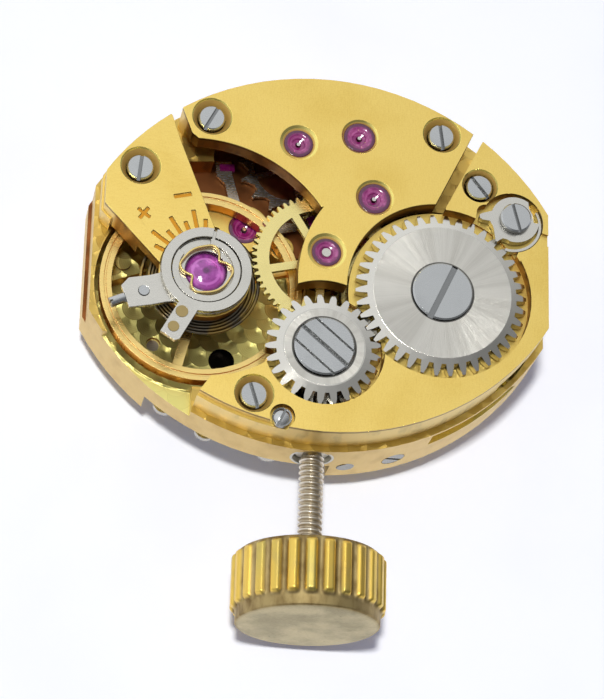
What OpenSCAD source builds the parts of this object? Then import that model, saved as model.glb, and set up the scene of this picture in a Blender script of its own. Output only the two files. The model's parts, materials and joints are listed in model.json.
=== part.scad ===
// Oval hand-wound watch movement, 13 x 15.4 mm, with its winding stem and crown.
// Frame: origin on the centre arbor's axis in the dial face, +Z from the dial face to the bridges, -Y along the stem to the crown.

/* [Plate] */
// Radius of the two long arcs of the plate's outline
plate_r = 8.85; // [8.8:0.01:8.9]
// Distance of each arc's centre from the middle
plate_q = 2.35; // [2.3:0.01:2.4]
// Half width across the flats at the dial side
flange_w = 7.7; // [7.65:0.01:7.8]
// Half width across the flats above the flange
wall_w = 7.58; // [7.56:0.01:7.64]
// Height of the flange step
flange_z = 1.1; // [1:0.01:1.15]
// Height of the face that the bridges stand on
seat_z = 2.3; // [2.28:0.01:2.32]

/* [Bridges] */
// Height of the bridges' top face
top_z = 3.65; // [3.62:0.01:3.7]
// Radius of the outline's arcs on the bridges
bridge_r = 8.65; // [8.6:0.01:8.7]
// Distance of each bridge arc's centre from the middle
bridge_q = 2.36; // [2.32:0.01:2.4]
// Half width across the flats on the bridges
bridge_w = 7.45; // [7.44:0.01:7.5]
// Radius of a bridge screw's head
screw_r = 0.45; // [0.42:0.01:0.46]

/* [Winding] */
// Teeth of the ratchet wheel
ratchet_t = 38; // [38]
// Teeth of the crown wheel
crownw_t = 25; // [25]
// Teeth of the winding pinion
winder_t = 20; // [20]
// Height of the stem's axis above the dial face
stem_z = 1.6; // [1.58:0.01:1.62]
// Radius of the crown
crown_r = 2.5; // [2.3:0.05:2.7]
// Flutes on the crown
crown_flutes = 26; // [20:1:32]
// Distance from the middle to the crown's outer end
crown_end = 12.2; // [12:0.05:12.5]
// Radius over the stem's thread
thread_r = 0.41; // [0.4:0.01:0.45]
// Pitch of the stem's thread
thread_pitch = 0.2; // [0.2:0.05:0.25]

/* [Train] */
// Teeth of the barrel
barrel_t = 60; // [60]
// Leaves of the centre pinion
centre_p = 12; // [12]
// Teeth of the centre wheel
centre_t = 60; // [60]
// Leaves of the third pinion
third_p = 8; // [8]
// Teeth of the third wheel
third_t = 64; // [64]
// Leaves of the fourth pinion
fourth_p = 8; // [8]
// Teeth of the fourth wheel
fourth_t = 70; // [70]
// Leaves of the escape pinion
escape_p = 7; // [7]
// Teeth of the escape wheel
escape_t = 15; // [15]

/* [Balance] */
// Outer radius of the balance rim
balance_r = 3.35; // [3.3:0.01:3.36]
// Width of the balance rim
rim_w = 0.4; // [0.35:0.01:0.45]
// Outer radius of the index ring
index_r = 1.48; // [1.45:0.01:1.5]

/* [Hidden] */
$fn = 64;

// Arbor centres in plan
bal = [-3.96, -1.11];
esc = [-1.03, 3.84];
fou = [1.02, 4.28];
thi = [1.56, 2.09];
rat = [3.868, -1.106];
crw = [0, -3.363];
set_c = [0, -2.2];
min_c = [1.595, -0.834];
hook = [6.33, 1.8];
// The click spring's arc lies round this point beside the click's own axis
spring_off = [-0.1, -0.13];

function len2(v) = sqrt(v[0] * v[0] + v[1] * v[1]);
function dir2(a, b) = atan2(b[1] - a[1], b[0] - a[0]);
function polar(r, a) = [r * cos(a), r * sin(a)];
function arc(c, r, a0, a1, n) = [for (i = [0 : n]) c + polar(r, a0 + (a1 - a0) * i / n)];

// Pallet arbor, on the line from the balance to the escape arbor
pal_a = dir2(bal, esc);
pal = bal + polar(2.81, pal_a);
pal_d = len2(esc - pal);

// Modules from centre distances
m_wind = 2 * len2(rat - crw) / (ratchet_t + crownw_t);
m_bar = 2 * len2(rat) / (barrel_t + centre_p);
m_cen = 2 * len2(thi) / (centre_t + third_p);
m_thi = 2 * len2(fou - thi) / (third_t + fourth_p);
m_fou = 2 * len2(esc - fou) / (fourth_t + escape_p);
m_min = 2 * 1.8 / (12 + 36);
m_hour = 2 * 1.8 / (10 + 40);
m_set = 2 * (len2(min_c - set_c) - 18 * m_min) / 20;

// Escape wheel's tip radius, where the pallets touch it square to their arms
pal_span = 36;
esc_r = pal_d * sin(pal_span);
arm_r = pal_d * cos(pal_span);

// Heights of the wheels
z_third = 1.25;
z_esc = 1.5;
z_fourth = 2.05;
z_cen = 2.72;
z_bar = 1.5;
z_crw = 2.95;
z_rat = 3.2;

// Bridge screws: x, y, slot angle
screws = [[-3.96, 4.5, 63], [-6.25, 2.46, 85], [3.81, 4.64, 98], [5.12, 2.89, -51], [-2.24, -5.18, -72]];
lever_c = [-1.3, -5.88];
yoke_c = [-2.4, -3.89];

// Outline shared by the plate and the bridges
module oval(r, q, w) {
    intersection() {
        translate([0, q]) circle(r, $fn = 120);
        translate([0, -q]) circle(r, $fn = 120);
        square([2 * w, 20], center = true);
    }
}

module slab(z0, z1) {
    translate([0, 0, z0]) linear_extrude(z1 - z0) children();
}

module rod(c, r, z0, z1) {
    translate([c[0], c[1], z0]) cylinder(r = r, h = z1 - z0);
}

module cone(c, r0, r1, z0, z1) {
    translate([c[0], c[1], z0]) cylinder(r1 = r0, r2 = r1, h = z1 - z0);
}

// A cylinder along the stem's axis from y0 towards the crown
module stem_rod(r, y0, y1) {
    translate([0, y1, stem_z]) rotate([90, 0, 0]) cylinder(r = r, h = y1 - y0);
}

module slot_cut(c, a, w, r, z) {
    translate([c[0], c[1], z]) rotate(a) translate([-r - 0.1, -w / 2, 0]) cube([2 * r + 0.2, w, 1]);
}

// Disc about c whose top is flat at z1 out to r1 and falls to z2 at r2
module bevelled_disc(c, z0, r1, z1, r2, z2) {
    translate(c) rotate_extrude() polygon([[0, z0], [r2, z0], [r2, z2], [r1, z1], [0, z1]]);
}

// Gear outline: t teeth of module m, the first at angle a
function gear_pts(t, m, a, add, ded, tip, mid) = [
    for (i = [0 : t - 1], p = [
        [-0.32, -ded], [-mid, 0], [-tip, add], [tip, add], [mid, 0], [0.32, -ded]
    ]) polar(m * t / 2 + p[1] * m, a + (i + p[0]) * 360 / t)
];

module gear(t, m, a = 0, add = 1.0, ded = 1.25, tip = 0.1, mid = 0.22) {
    polygon(gear_pts(t, m, a, add, ded, tip, mid));
}

// Spokes of a wheel between two radii
module spokes(n, a, w, r) {
    for (i = [0 : n - 1]) rotate(a + i * 360 / n) translate([0, -w / 2]) square([r, w]);
}

// Wheel blank with a rim, a hub and spokes
module wheel(t, m, a, r_in, r_hub, n, sa, w, bore, add = 1.0) {
    difference() {
        gear(t, m, a, add);
        circle(r_in);
    }
    difference() {
        union() {
            circle(r_hub);
            spokes(n, sa, w, r_in + 0.05);
        }
        circle(bore);
    }
}

// Slotted screw with a flat head
module slot_screw(c, a, hr, z_head, z_top, sr, z_end, w = 0.12) {
    difference() {
        union() {
            rod(c, hr, z_head, z_top);
            rod(c, sr, z_end, z_head);
        }
        slot_cut(c, a, w, hr, z_top - 0.12);
    }
}

// Space in plate and bridge for the stem and its two pinions
module stem_space() {
    stem_rod(0.3, -4, -2.2);
    stem_rod(1.0, -4.78, -2.95);
    stem_rod(1.52, -5.44, -4.66);
    stem_rod(0.64, -7, -5);
}

module screw_seat(c, r) {
    cone(c, screw_r + 0.02, r, top_z - 0.3, top_z + 0.01);
    rod(c, screw_r + 0.02, top_z - 0.47, top_z - 0.29);
    rod(c, 0.24, 1, top_z - 0.4);
}

module train_bridge_2d() {
    intersection() {
        oval(bridge_r, bridge_q, bridge_w);
        polygon(concat(
            [[-5.6, 6.4], [-4.96, 4.75], [-4.6, 3.83]],
            arc([-4.243, -1.276], 4.931, 91.5, 35.1, 28),
            arc([3.622, -0.972], 4.559, 145.7, 183.6, 18),
            arc(crw, 2.31, 113, 73, 10),
            arc(rat, 3.17, 180.8, 94.4, 36),
            [[4.88, 4.75], [5.65, 6.4]]
        ));
    }
}

module barrel_bridge_2d() {
    intersection() {
        oval(bridge_r, bridge_q, bridge_w);
        polygon(concat(
            [rat, [3.96, 1.96], [5.17, 4.46], [6.2, 6.4], [8, 6.4], [8, -7], [-4.75, -7], [-4.06, -5.31], [-3.94, -5.13]],
            arc([-3.96, -1.11], 3.6, 275, 304, 10),
            [[-1.85, -3.86], crw]
        ));
    }
}

module cock_2d() {
    intersection() {
        oval(bridge_r, bridge_q, bridge_w - 0.1);
        polygon([
            [-5.28, 4.4], [-4.97, 3.5], [-3.71, 0.41], [-3.0, -1.11], [-4.0, -2], [-5.47, -0.94],
            [-7.4, 1.07], [-7.4, 2.4], [-6.5, 3.38], [-5.9, 5]
        ]);
    }
}

module main_plate() {
    color([0.86, 0.72, 0.42]) difference() {
        union() {
            slab(0, flange_z) oval(plate_r, plate_q, flange_w);
            slab(0, seat_z) oval(plate_r, plate_q, wall_w);
        }
        // Balance well and the low rim beside it
        rod(bal, 3.5, 1.2, 3);
        slab(1.9, 3) polygon([[-9, -2.95], [-5, -2.95], [-4.1, -4.5], [-4.1, -7], [-9, -7]]);
        // Barrel, third, fourth and escape wells, and the window beside the balance
        rod(rat, 3.5, 1.42, 3);
        rod(thi, 2.14, 1.17, 3);
        rod(fou, 2.03, 1.95, 3);
        rod(esc, 1.85, 1.42, 3);
        rod([0, 0], 0.9, 1.3, 3);
        slab(1.42, 3) intersection() {
            translate([-4.243, -1.276]) circle(4.8);
            polygon([[-4.6, 0], [-4.6, 3.4], [0.5, 4], [0.5, 0]]);
        }
        for (s = [-1, 1]) rod(pal + polar(arm_r, pal_a + s * pal_span), 0.95, 1.42, 3);
        for (p = pallet_feet) rod(p, 0.39, 1.2, 3);
        stem_space();
        // Dial side: motion work and keyless work
        rod([0, 0], 2.3, -1, 0.62);
        rod(min_c, 1.5, -1, 0.62);
        rod(set_c, 1.0, -1, 0.85);
        slab(-1, 0.95) polygon([[-5.5, -3.6], [-5.5, -8], [0.7, -8], [0.7, -3], [-3.2, -3]]);
        rod(bal, 0.88, -1, 3);
        // Bores for arbors and screws
        rod([0, 0], 0.33, -1, 3);
        rod(rat, 0.42, 0.6, 3);
        for (p = [esc, fou, thi, pal]) rod(p, 0.35, 0.75, 3);
        for (s = screws) rod([s[0], s[1]], 0.22, 1.0, 3);
        rod(lever_c, 0.2, 0.9, 3);
        for (p = pallet_feet) rod(p, 0.14, 0.8, 3);
        for (p = cover_feet) rod(p, 0.16, 0.9, 1.15);
        // Casing slot in the side wall beside the stem, and the two dial-foot holes
        casing_slot();
        for (p = dial_feet) rod([p[0], p[1]], 0.35, -1, 1.3);
        for (p = dial_feet) foot_screw_space(p);
        // Small holes in the balance well's floor
        rod([-3.04, -3.21], 0.42, 1, 3);
        rod([-5.32, -2.82], 0.24, 1.05, 3);
    }
    // Land with a round post beside the balance
    color([0.86, 0.72, 0.42]) {
        slab(1.15, 1.7) polygon([[-6.59, 0.3], [-6.88, -0.92], [-5.71, -0.45]]);
        rod([-6.5, -0.24], 0.26, 1.6, 1.82);
    }
}

pallet_feet = [[-4.05, 1.75], [-1.27, 0.72]];
cover_feet = [[-4.72, -4.25], [-3.35, -5.1]];
cover_lobes = [[-4.75, -4.49], [-3.35, -5.27]];
// Dial-foot holes: x, y, direction of the screw from the foot outwards
dial_feet = [[2.46, -4.94, -71.4], [-2.46, 4.94, 108.6]];
foot_z = 0.9;

module foot_screw_space(p) {
    translate([p[0], p[1], foot_z]) rotate([0, 90, p[2]]) {
        cylinder(r = 0.19, h = 1);
        translate([0, 0, 0.8]) cylinder(r = 0.4, h = 2);
    }
}

module casing_slot() {
    slab(1.35, 2.15) difference() {
        polygon([[3.9, -4.9], [3.9, -8], [8, -8], [8, -3.2], [6.95, -3.2]]);
        oval(plate_r - 0.3, plate_q, wall_w - 0.05);
    }
}

module barrel_bridge() {
    color([0.91, 0.78, 0.42]) difference() {
        union() {
            slab(seat_z, top_z) barrel_bridge_2d();
            rod(rat, 3.05, 2.85, 3.15);
            rod(crw, 2.02, seat_z, 2.9);
        }
        rod(rat, 3.0, 3.15, 4);
        rod(crw, 2.0, 2.9, 4);
        rod(rat, 3.5, 2, 2.85);
        rod([0, 0], 2.5, 2, 2.93);
        rod(rat, 0.52, 2, 4);
        rod(crw, 0.25, 2.6, 4);
        rod(bal, 3.5, 2, 2.94);
        // Pocket of the click
        slab(3.25, 4) {
            translate(hook + spring_off) circle(1.05);
            translate(hook + [-1.02, 0.12]) circle(0.3);
            polygon([[5.02, 1.92], [4.9, 1.3], [6.35, 0.4], [6.6, 0.95], [5.6, 2.1]]);
        }
        slab(3.52, 4) polygon([[6.3, 0.75], [6.46, 0.28], [7.38, 0.87], [7.6, 0.98], [7.6, 1.28], [7.1, 1.4]]);
        rod(hook, 0.2, 2.5, 4);
        stem_space();
        screw_seat([5.12, 2.89], 0.62);
        screw_seat([-2.24, -5.18], 0.66);
        // Seat of the setting-lever screw, open at the edge
        rod(lever_c, 0.41, 3.35, 4);
        rod(lever_c, 0.22, 2, 4);
        // Shallow step along the edge beside the balance
        slab(3.3, 4) difference() {
            polygon([[-5, -4.9], [-1.1, -5.5], [-1.1, -7], [-5, -7]]);
            oval(bridge_r - 0.1, bridge_q, bridge_w);
        }
    }
    color([0.91, 0.78, 0.42]) difference() {
        rod(crw, 0.72, 2.9, 3.42);
        rod(crw, 0.25, 2.6, 4);
    }
}

module train_bridge() {
    color([0.91, 0.78, 0.42]) difference() {
        slab(seat_z, top_z) train_bridge_2d();
        // Underside: thin over the wheels, full height at the two feet
        slab(2, 2.95) intersection() {
            union() {
                translate(esc) circle(1.9);
                translate(fou) circle(2.08);
                translate(thi) circle(2.2);
                circle(2.5);
                translate([-4.243, -1.276]) circle(5.6);
                translate(rat) circle(3.6);
                polygon([[-1.5, -2], [-1.5, 4.5], [2, 5], [4, 2.5], [3, -2]]);
            }
            oval(bridge_r - 0.25, bridge_q, bridge_w);
        }
        screw_seat([-3.96, 4.5], 0.68);
        screw_seat([3.81, 4.64], 0.66);
        for (j = train_holes) {
            rod(j[0], j[1], 2, 4);
            cone(j[0], j[1], j[2] + 0.01, top_z - 0.1, top_z + 0.01);
        }
    }
}

// Jewel holes: centre, jewel radius, bevel radius, pivot radius
train_holes = [
    [[0, 0], 0.49, 0.65, 0.16], [thi, 0.54, 0.64, 0.09], [fou, 0.53, 0.62, 0.08], [esc, 0.49, 0.65, 0.08]
];

module jewel(c, r, hole, z0, z1) {
    difference() {
        rod(c, r, z0, z1);
        rod(c, hole, z0 - 1, z1 + 1);
        cone(c, hole, r * 0.62, z1 - 0.14, z1 + 0.01);
    }
}

module train_jewels() {
    color([0.75, 0.1, 0.5]) for (j = train_holes) jewel(j[0], j[1], j[3] + 0.02, 3.12, 3.57);
}

module plate_jewels() {
    color([0.75, 0.1, 0.5]) for (p = [esc, fou, thi, pal]) jewel(p, 0.35, 0.09, 0.75, 1.05);
}

module balance_cock() {
    color([0.91, 0.78, 0.42]) difference() {
        union() {
            slab(3.1, top_z) cock_2d();
            rod(bal, 1.52, 3.1, 3.45);
            slab(seat_z, 3.1) difference() {
                offset(0.08) cock_2d();
                translate(bal) circle(3.6);
            }
            slab(2.6, 3.1) difference() {
                cock_2d();
                translate(bal) circle(2.4);
            }
        }
        rod(bal, 1.52, 3.45, 4);
        rod(bal, 0.88, 3, 4);
        screw_seat([-6.25, 2.46], 0.68);
        // Regulation scale and its plus and minus signs
        for (i = [0 : 6]) rotate_about(bal, 92.4 + i * 10.6) translate([1.5, -0.07, top_z - 0.06]) cube([i % 2 == 0 ? 0.36 : 0.7, 0.14, 1]);
        for (a = [55, 145]) rotate_at([-6.06, 0.77], a) translate([-0.25, -0.06, top_z - 0.06]) cube([0.5, 0.12, 1]);
        rotate_at([-4.82, 1.53], 15) translate([-0.3, -0.07, top_z - 0.06]) cube([0.6, 0.14, 1]);
    }
}

module rotate_about(c, a) {
    translate([c[0], c[1], 0]) rotate(a) children();
}

module rotate_at(c, a) {
    translate([c[0], c[1], 0]) rotate(a) children();
}

module pallet_cock() {
    color([0.88, 0.7, 0.4]) difference() {
        union() {
            slab(1.7, 1.95) pallet_cock_2d();
            for (p = pallet_feet) rod(p, 0.38, 1.2, 1.75);
        }
        rod(pal, 0.53, 1.6, 2);
        for (p = pallet_feet) {
            rod(p, 0.31, 1.83, 2);
            rod(p, 0.16, 1, 2);
        }
    }
}

module pallet_cock_2d() {
    translate(pal) circle(0.85);
    for (p = pallet_feet) translate(p) circle(0.42);
    for (p = pallet_feet) {
        a = dir2(pal, p);
        translate(pal) rotate(a) translate([0.1, -0.31]) square([len2(p - pal) - 0.1, 0.62]);
    }
}

module pallet_jewel() {
    color([0.75, 0.1, 0.5]) jewel(pal, 0.53, 0.08, 1.68, 1.94);
}

module pallet_cock_screws() {
    color([0.75, 0.75, 0.74]) for (p = pallet_feet) slot_screw(p, 30, 0.3, 1.83, 1.95, 0.14, 0.85, 0.08);
}

module bridge_screws() {
    color([0.75, 0.75, 0.74]) for (s = screws) slot_screw([s[0], s[1]], s[2], screw_r, 3.2, 3.56, 0.22, 1.05);
}

module setting_lever_screw() {
    color([0.75, 0.75, 0.74]) difference() {
        union() {
            rod(lever_c, 0.32, 3.37, 3.6);
            rod(lever_c, 0.19, 0.52, 3.37);
        }
        slot_cut(lever_c, 67, 0.09, 0.32, 3.52);
    }
}

module dial_foot_screws() {
    color([0.75, 0.75, 0.74]) for (p = dial_feet) translate([p[0], p[1], foot_z]) rotate([0, 90, p[2]]) difference() {
        union() {
            translate([0, 0, 0.36]) cylinder(r = 0.19, h = 0.5);
            translate([0, 0, 0.8]) cylinder(r = 0.38, h = 0.35);
        }
        rotate(51) translate([-0.5, -0.05, 1.05]) cube([1, 0.1, 1]);
    }
}

// Shock settings of the balance
module upper_setting() {
    color([0.72, 0.72, 0.7]) difference() {
        union() {
            rod(bal, 0.88, 3.1, 3.5);
            rod(bal, 1.12, 3.46, 3.8);
        }
        rod(bal, 0.28, 3, 4);
        rod(bal, 0.7, 3.3, 4);
        rod(bal, 0.9, 3.68, 4);
        slab(3.68, 4) polygon([bal, bal + polar(2, 84), bal + polar(2.3, 114), bal + polar(2, 145)]);
    }
    color([0.9, 0.85, 0.6]) difference() {
        rod(bal, 0.7, 3.3, 3.5);
        rod(bal, 0.08, 3, 4);
    }
}

module lower_setting() {
    color([0.72, 0.72, 0.7]) difference() {
        rod(bal, 0.88, 0.3, 1.18);
        rod(bal, 0.28, 0, 2);
        rod(bal, 0.7, 0, 0.98);
    }
    color([0.9, 0.85, 0.6]) difference() {
        rod(bal, 0.7, 0.78, 0.98);
        rod(bal, 0.08, 0, 2);
    }
}

module cap_jewels() {
    color([0.75, 0.15, 0.6]) rotate_extrude_at(bal, 3.52) polygon(concat([[0, 0]], [[0.68, 0]], arc([0, -1.12], 1.35, 60, 90, 8)));
    color([0.75, 0.15, 0.6]) rod(bal, 0.68, 0.58, 0.76);
}

module rotate_extrude_at(c, z) {
    translate([c[0], c[1], z]) rotate_extrude() children();
}

// Lyre springs that hold the cap jewels
module lyre_springs() {
    color([0.85, 0.7, 0.35]) slab(3.76, 3.8) lyre_2d(0.88);
    color([0.85, 0.7, 0.35]) slab(0.5, 0.54) lyre_2d(0.69);
}

module lyre_2d(r) {
    translate(bal) difference() {
        circle(r);
        circle(r - 0.12);
    }
    for (a = [-20, 160]) translate(bal) rotate(a) translate([r - 0.46, -0.3]) difference() {
        square([0.4, 0.6]);
        translate([-0.1, 0.12]) square([0.34, 0.36]);
    }
}

// Carrier of the hairspring's stud, turning around the upper setting
module stud_carrier() {
    color([0.74, 0.74, 0.74]) difference() {
        union() {
            rod(bal, 1.49, 3.47, 3.64);
            slab(3.47, 3.64) polygon([[-6.68, -1.85], [-6.45, -1.55], [-5.82, -1.41], [-5.24, -1.215], [-5.15, -1.65], [-4.95, -1.95], [-4.6, -2.2], [-5.2, -2.3], [-5.6, -2.42], [-6.39, -2.59]]);
        }
        rod(bal, 1.14, 3, 4);
        rod([-5.94, -1.97], 0.17, 3, 4);
    }
}

module hairspring_stud() {
    color([0.7, 0.7, 0.7]) difference() {
        rod([-5.94, -1.97], 0.17, 2.55, 3.68);
        translate([-6.1, -2.03, 2.5]) cube([0.4, 0.12, 0.35]);
    }
}

// Screw in the carrier's side that clamps the stud
module stud_screw() {
    color([0.7, 0.72, 0.75]) translate([-6.55, -2.23, 3.55]) rotate([0, 90, 207]) difference() {
        cylinder(r = 0.17, h = 0.5);
        translate([-0.3, -0.03, 0.42]) cube([0.6, 0.06, 1]);
    }
}

module regulator_index() {
    color([0.78, 0.78, 0.78]) difference() {
        slab(3.66, 3.84) union() {
            translate(bal) circle(index_r);
            polygon([[-4.1, -2.3], [-5.36, -3.38], [-4.89, -3.68], [-4.74, -3.62], [-4.0, -2.2]]);
            polygon([[-4.75, -2.2], [-5.36, -3.38], [-4.82, -3.64], [-4.2, -2.2]]);
        }
        rod(bal, 1.16, 3, 4);
        rotate_about(bal, 80) translate([0.9, -0.05, 3]) cube([0.8, 0.1, 2]);
        rod([-4.70, -2.66], 0.2, 3, 4);
        rod([-4.95, -3.2], 0.18, 3, 4);
    }
}

module curb_pins() {
    color([0.72, 0.6, 0.35]) {
        rod([-4.70, -2.66], 0.2, 3.66, 3.86);
        rod([-4.95, -3.2], 0.18, 3.66, 3.86);
        rod(bal + polar(1.9, 244.5), 0.05, 2.6, 3.7);
        rod(bal + polar(2.2, 244.5), 0.05, 2.6, 3.7);
    }
}

// Hairspring as a plain ring of its wound space, with its outer curve
module hairspring() {
    color([0.45, 0.45, 0.4]) difference() {
        slab(2.66, 2.78) {
            translate(bal) circle(1.78);
            polygon(concat(arc(bal, 2.06, 209, 330, 24), arc(bal, 1.7, 330, 324, 2), arc(bal, 1.98, 324, 209, 24)));
        }
        rod(bal, 0.48, 2, 3);
    }
}

module balance_wheel() {
    color([0.93, 0.78, 0.45]) difference() {
        union() {
            slab(2.02, 2.5) translate(bal) difference() {
                circle(balance_r, $fn = 96);
                circle(balance_r - rim_w, $fn = 96);
            }
            slab(2.12, 2.35) translate(bal) union() {
                spokes(3, 17, 0.34, balance_r - rim_w / 2);
                circle(0.45);
            }
        }
        rod(bal, 0.2, 2, 3);
        slab(2.45, 3) translate(bal) difference() {
            circle(balance_r - rim_w * 0.38, $fn = 96);
            circle(balance_r - rim_w * 0.55, $fn = 96);
        }
    }
}

module balance_staff() {
    color([0.7, 0.7, 0.72]) translate([bal[0], bal[1], 0]) rotate_extrude() polygon([
        [0, 0.78], [0.06, 0.78], [0.06, 1.1], [0.16, 1.15], [0.16, 2.12], [0.2, 2.12], [0.2, 2.35], [0.3, 2.35], [0.3, 2.5],
        [0.2, 2.5], [0.2, 2.62], [0.42, 2.62], [0.42, 2.84], [0.16, 2.84], [0.16, 3.2], [0.06, 3.25], [0.06, 3.5], [0, 3.5]
    ]);
}

module roller() {
    color([0.7, 0.7, 0.72]) difference() {
        union() {
            rod(bal, 0.62, 1.68, 1.82);
            rod(bal, 0.3, 1.3, 1.7);
        }
        rod(bal, 0.16, 1, 2);
        rod(bal + polar(0.42, pal_a), 0.14, 1, 1.6);
        rod(bal + polar(0.42, pal_a), 0.07, 1, 2);
    }
}

module roller_jewel() {
    color([0.8, 0.2, 0.4]) rod(bal + polar(0.42, pal_a), 0.07, 1.45, 1.82);
}

// Lever with its two arms towards the escape wheel and its fork towards the balance
module pallet_fork() {
    color([0.68, 0.68, 0.7]) union() {
        slab(z_esc, z_esc + 0.13) difference() {
            translate(pal) rotate(pal_a) difference() {
                union() {
                    circle(0.42);
                    for (s = [-1, 1]) polygon([
                        for (p = [[0, -0.18], [arm_r - 0.3, 0.24], [arm_r + 0.22, 0.24], [arm_r + 0.22, 0.78], [arm_r - 0.3, 0.78], [arm_r - 0.6, 0.5], [0, 0.25]])
                            polar(len2(p), s * (pal_span + atan2(p[1], p[0])))
                    ]);
                    polygon([[0, -0.2], [-1.9, -0.12], [-2.15, -0.3], [-2.5, -0.26], [-2.5, 0.26], [-2.15, 0.3], [-1.9, 0.12], [0, 0.2]]);
                }
                // Fork slot around the roller jewel
                translate([-3.26, -0.09]) square([1, 0.18]);
                translate([-2.81, 0]) circle(0.36);
            }
            for (s = [-1, 1]) stone_2d(s);
        }
        translate([pal[0], pal[1], 0]) rotate_extrude() polygon([
            [0, 0.85], [0.07, 0.85], [0.07, 1.1], [0.14, 1.12], [0.14, 1.66], [0.06, 1.68], [0.06, 1.9], [0, 1.9]
        ]);
    }
}

module pallet_stones() {
    color([0.8, 0.15, 0.45]) for (s = [-1, 1]) slab(z_esc, z_esc + 0.13) stone_2d(s);
}

// A stone stands across its arm's end and points at the escape arbor
module stone_2d(s) {
    tip = pal + polar(arm_r, pal_a + s * pal_span);
    a = dir2(esc, tip);
    translate(esc) rotate(a) translate([esc_r + 0.15, -0.13]) square([0.5, 0.26]);
}

module escape_wheel() {
    color([0.7, 0.7, 0.68]) slab(z_esc, z_esc + 0.13) translate(esc) {
        difference() {
            polygon([for (i = [0 : escape_t - 1], p = [[1.4, -4], [1.4, 3], [esc_r - 0.06, 7], [esc_r, 7.5], [esc_r, 10.5], [esc_r - 0.1, 10.5]]) polar(p[0], p[1] + i * 24)]);
            circle(1.2);
        }
        difference() {
            union() {
                circle(0.3);
                spokes(4, 20, 0.16, 1.25);
            }
            circle(0.12);
        }
    }
}

// Arbor with a leafed pinion between two heights
module pinion(c, t, m, a, z0, z1, body, pivot, zb, zt) {
    slab(z0, z1) translate(c) gear(t, m, a, 0.75, 1.1, 0.08, 0.16);
    translate([c[0], c[1], 0]) rotate_extrude() polygon([
        [0, zb], [pivot, zb], [pivot, zb + 0.32], [body, zb + 0.34], [body, zt - 0.42], [pivot, zt - 0.4], [pivot, zt], [0, zt]
    ]);
}

module escape_pinion() {
    color([0.7, 0.7, 0.72]) pinion(esc, escape_p, m_fou, dir2(esc, fou) + 180 / escape_p, 1.95, 2.35, 0.12, 0.06, 0.78, 3.52);
}

module fourth_wheel() {
    color([0.88, 0.78, 0.5]) slab(z_fourth, z_fourth + 0.13) translate(fou) wheel(fourth_t, m_fou, dir2(fou, esc), 1.55, 0.4, 4, 10, 0.2, 0.12);
}

module fourth_pinion() {
    color([0.7, 0.7, 0.72]) pinion(fou, fourth_p, m_thi, dir2(fou, thi) + 180 / fourth_p, 1.2, 1.48, 0.12, 0.06, 0.78, 3.52);
}

module third_wheel() {
    color([0.88, 0.78, 0.5]) slab(z_third, z_third + 0.13) translate(thi) wheel(third_t, m_thi, dir2(thi, fou), 1.6, 0.4, 4, 35, 0.2, 0.14);
}

module third_pinion() {
    color([0.7, 0.7, 0.72]) pinion(thi, third_p, m_cen, dir2(thi, [0, 0]) + 180 / third_p, 2.6, 2.92, 0.14, 0.07, 0.78, 3.52);
}

module centre_wheel() {
    color([0.9, 0.82, 0.5]) slab(z_cen, z_cen + 0.16) wheel(centre_t, m_cen, dir2([0, 0], thi), 1.8, 0.6, 5, 122.5, 0.27, 0.3, 0.9);
}

module centre_pinion() {
    color([0.7, 0.7, 0.72]) {
        slab(1.46, 2.0) gear(centre_p, m_bar, dir2([0, 0], rat) + 180 / centre_p, 0.75, 1.1, 0.08, 0.16);
        rotate_extrude() polygon([
            [0, -0.7], [0.2, -0.7], [0.2, 0.74], [0.3, 0.76], [0.3, 3.1], [0.15, 3.13], [0.15, 3.54], [0, 3.54]
        ]);
    }
}

module barrel_drum() {
    color([0.88, 0.75, 0.45]) difference() {
        union() {
            slab(z_bar, z_bar + 0.35) translate(rat) gear(barrel_t, m_bar, dir2(rat, [0, 0]), 0.85);
            rod(rat, 3.15, z_bar, 2.48);
        }
        rod(rat, 3.0, z_bar + 0.15, 3);
        rod(rat, 0.43, 1, 3);
    }
}

module barrel_cover() {
    color([0.88, 0.75, 0.45]) difference() {
        rod(rat, 3.12, 2.48, 2.62);
        rod(rat, 0.43, 2, 3);
    }
}

// Mainspring as one ring of its wound space
module mainspring() {
    color([0.6, 0.62, 0.65]) difference() {
        rod(rat, 2.97, z_bar + 0.2, 2.44);
        rod(rat, 1.0, 1, 3);
    }
}

module barrel_arbor() {
    color([0.7, 0.7, 0.72]) difference() {
        translate([rat[0], rat[1], 0]) rotate_extrude() polygon([
            [0, 0.95], [0.4, 0.95], [0.4, 1.7], [0.95, 1.7], [0.95, 2.42], [0.4, 2.42], [0.4, 2.84], [0.5, 2.84], [0.5, 3.2], [0, 3.2]
        ]);
        rod(rat, 0.2, 2.2, 4);
    }
    color([0.7, 0.7, 0.72]) slab(3.2, 3.5) translate(rat) difference() {
        square([0.7, 0.7], center = true);
        circle(0.2);
    }
}

module ratchet_wheel() {
    color([0.78, 0.78, 0.76]) difference() {
        intersection() {
            slab(z_rat, z_rat + 0.6) translate(rat) gear(ratchet_t, m_wind, dir2(rat, crw), 1.15, 1.4, 0.11, 0.23);
            bevelled_disc(rat, z_rat, 2.33, 3.68, 3, 3.4);
        }
        slab(3, 3.52) translate(rat) square([0.72, 0.72], center = true);
        rod(rat, 1.03, 3.52, 4);
    }
}

module ratchet_screw() {
    color([0.76, 0.76, 0.75]) difference() {
        union() {
            rod(rat, 1.01, 3.53, 3.78);
            rod(rat, 0.19, 2.3, 3.53);
        }
        slot_cut(rat, 66, 0.2, 1.01, 3.62);
    }
}

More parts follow.
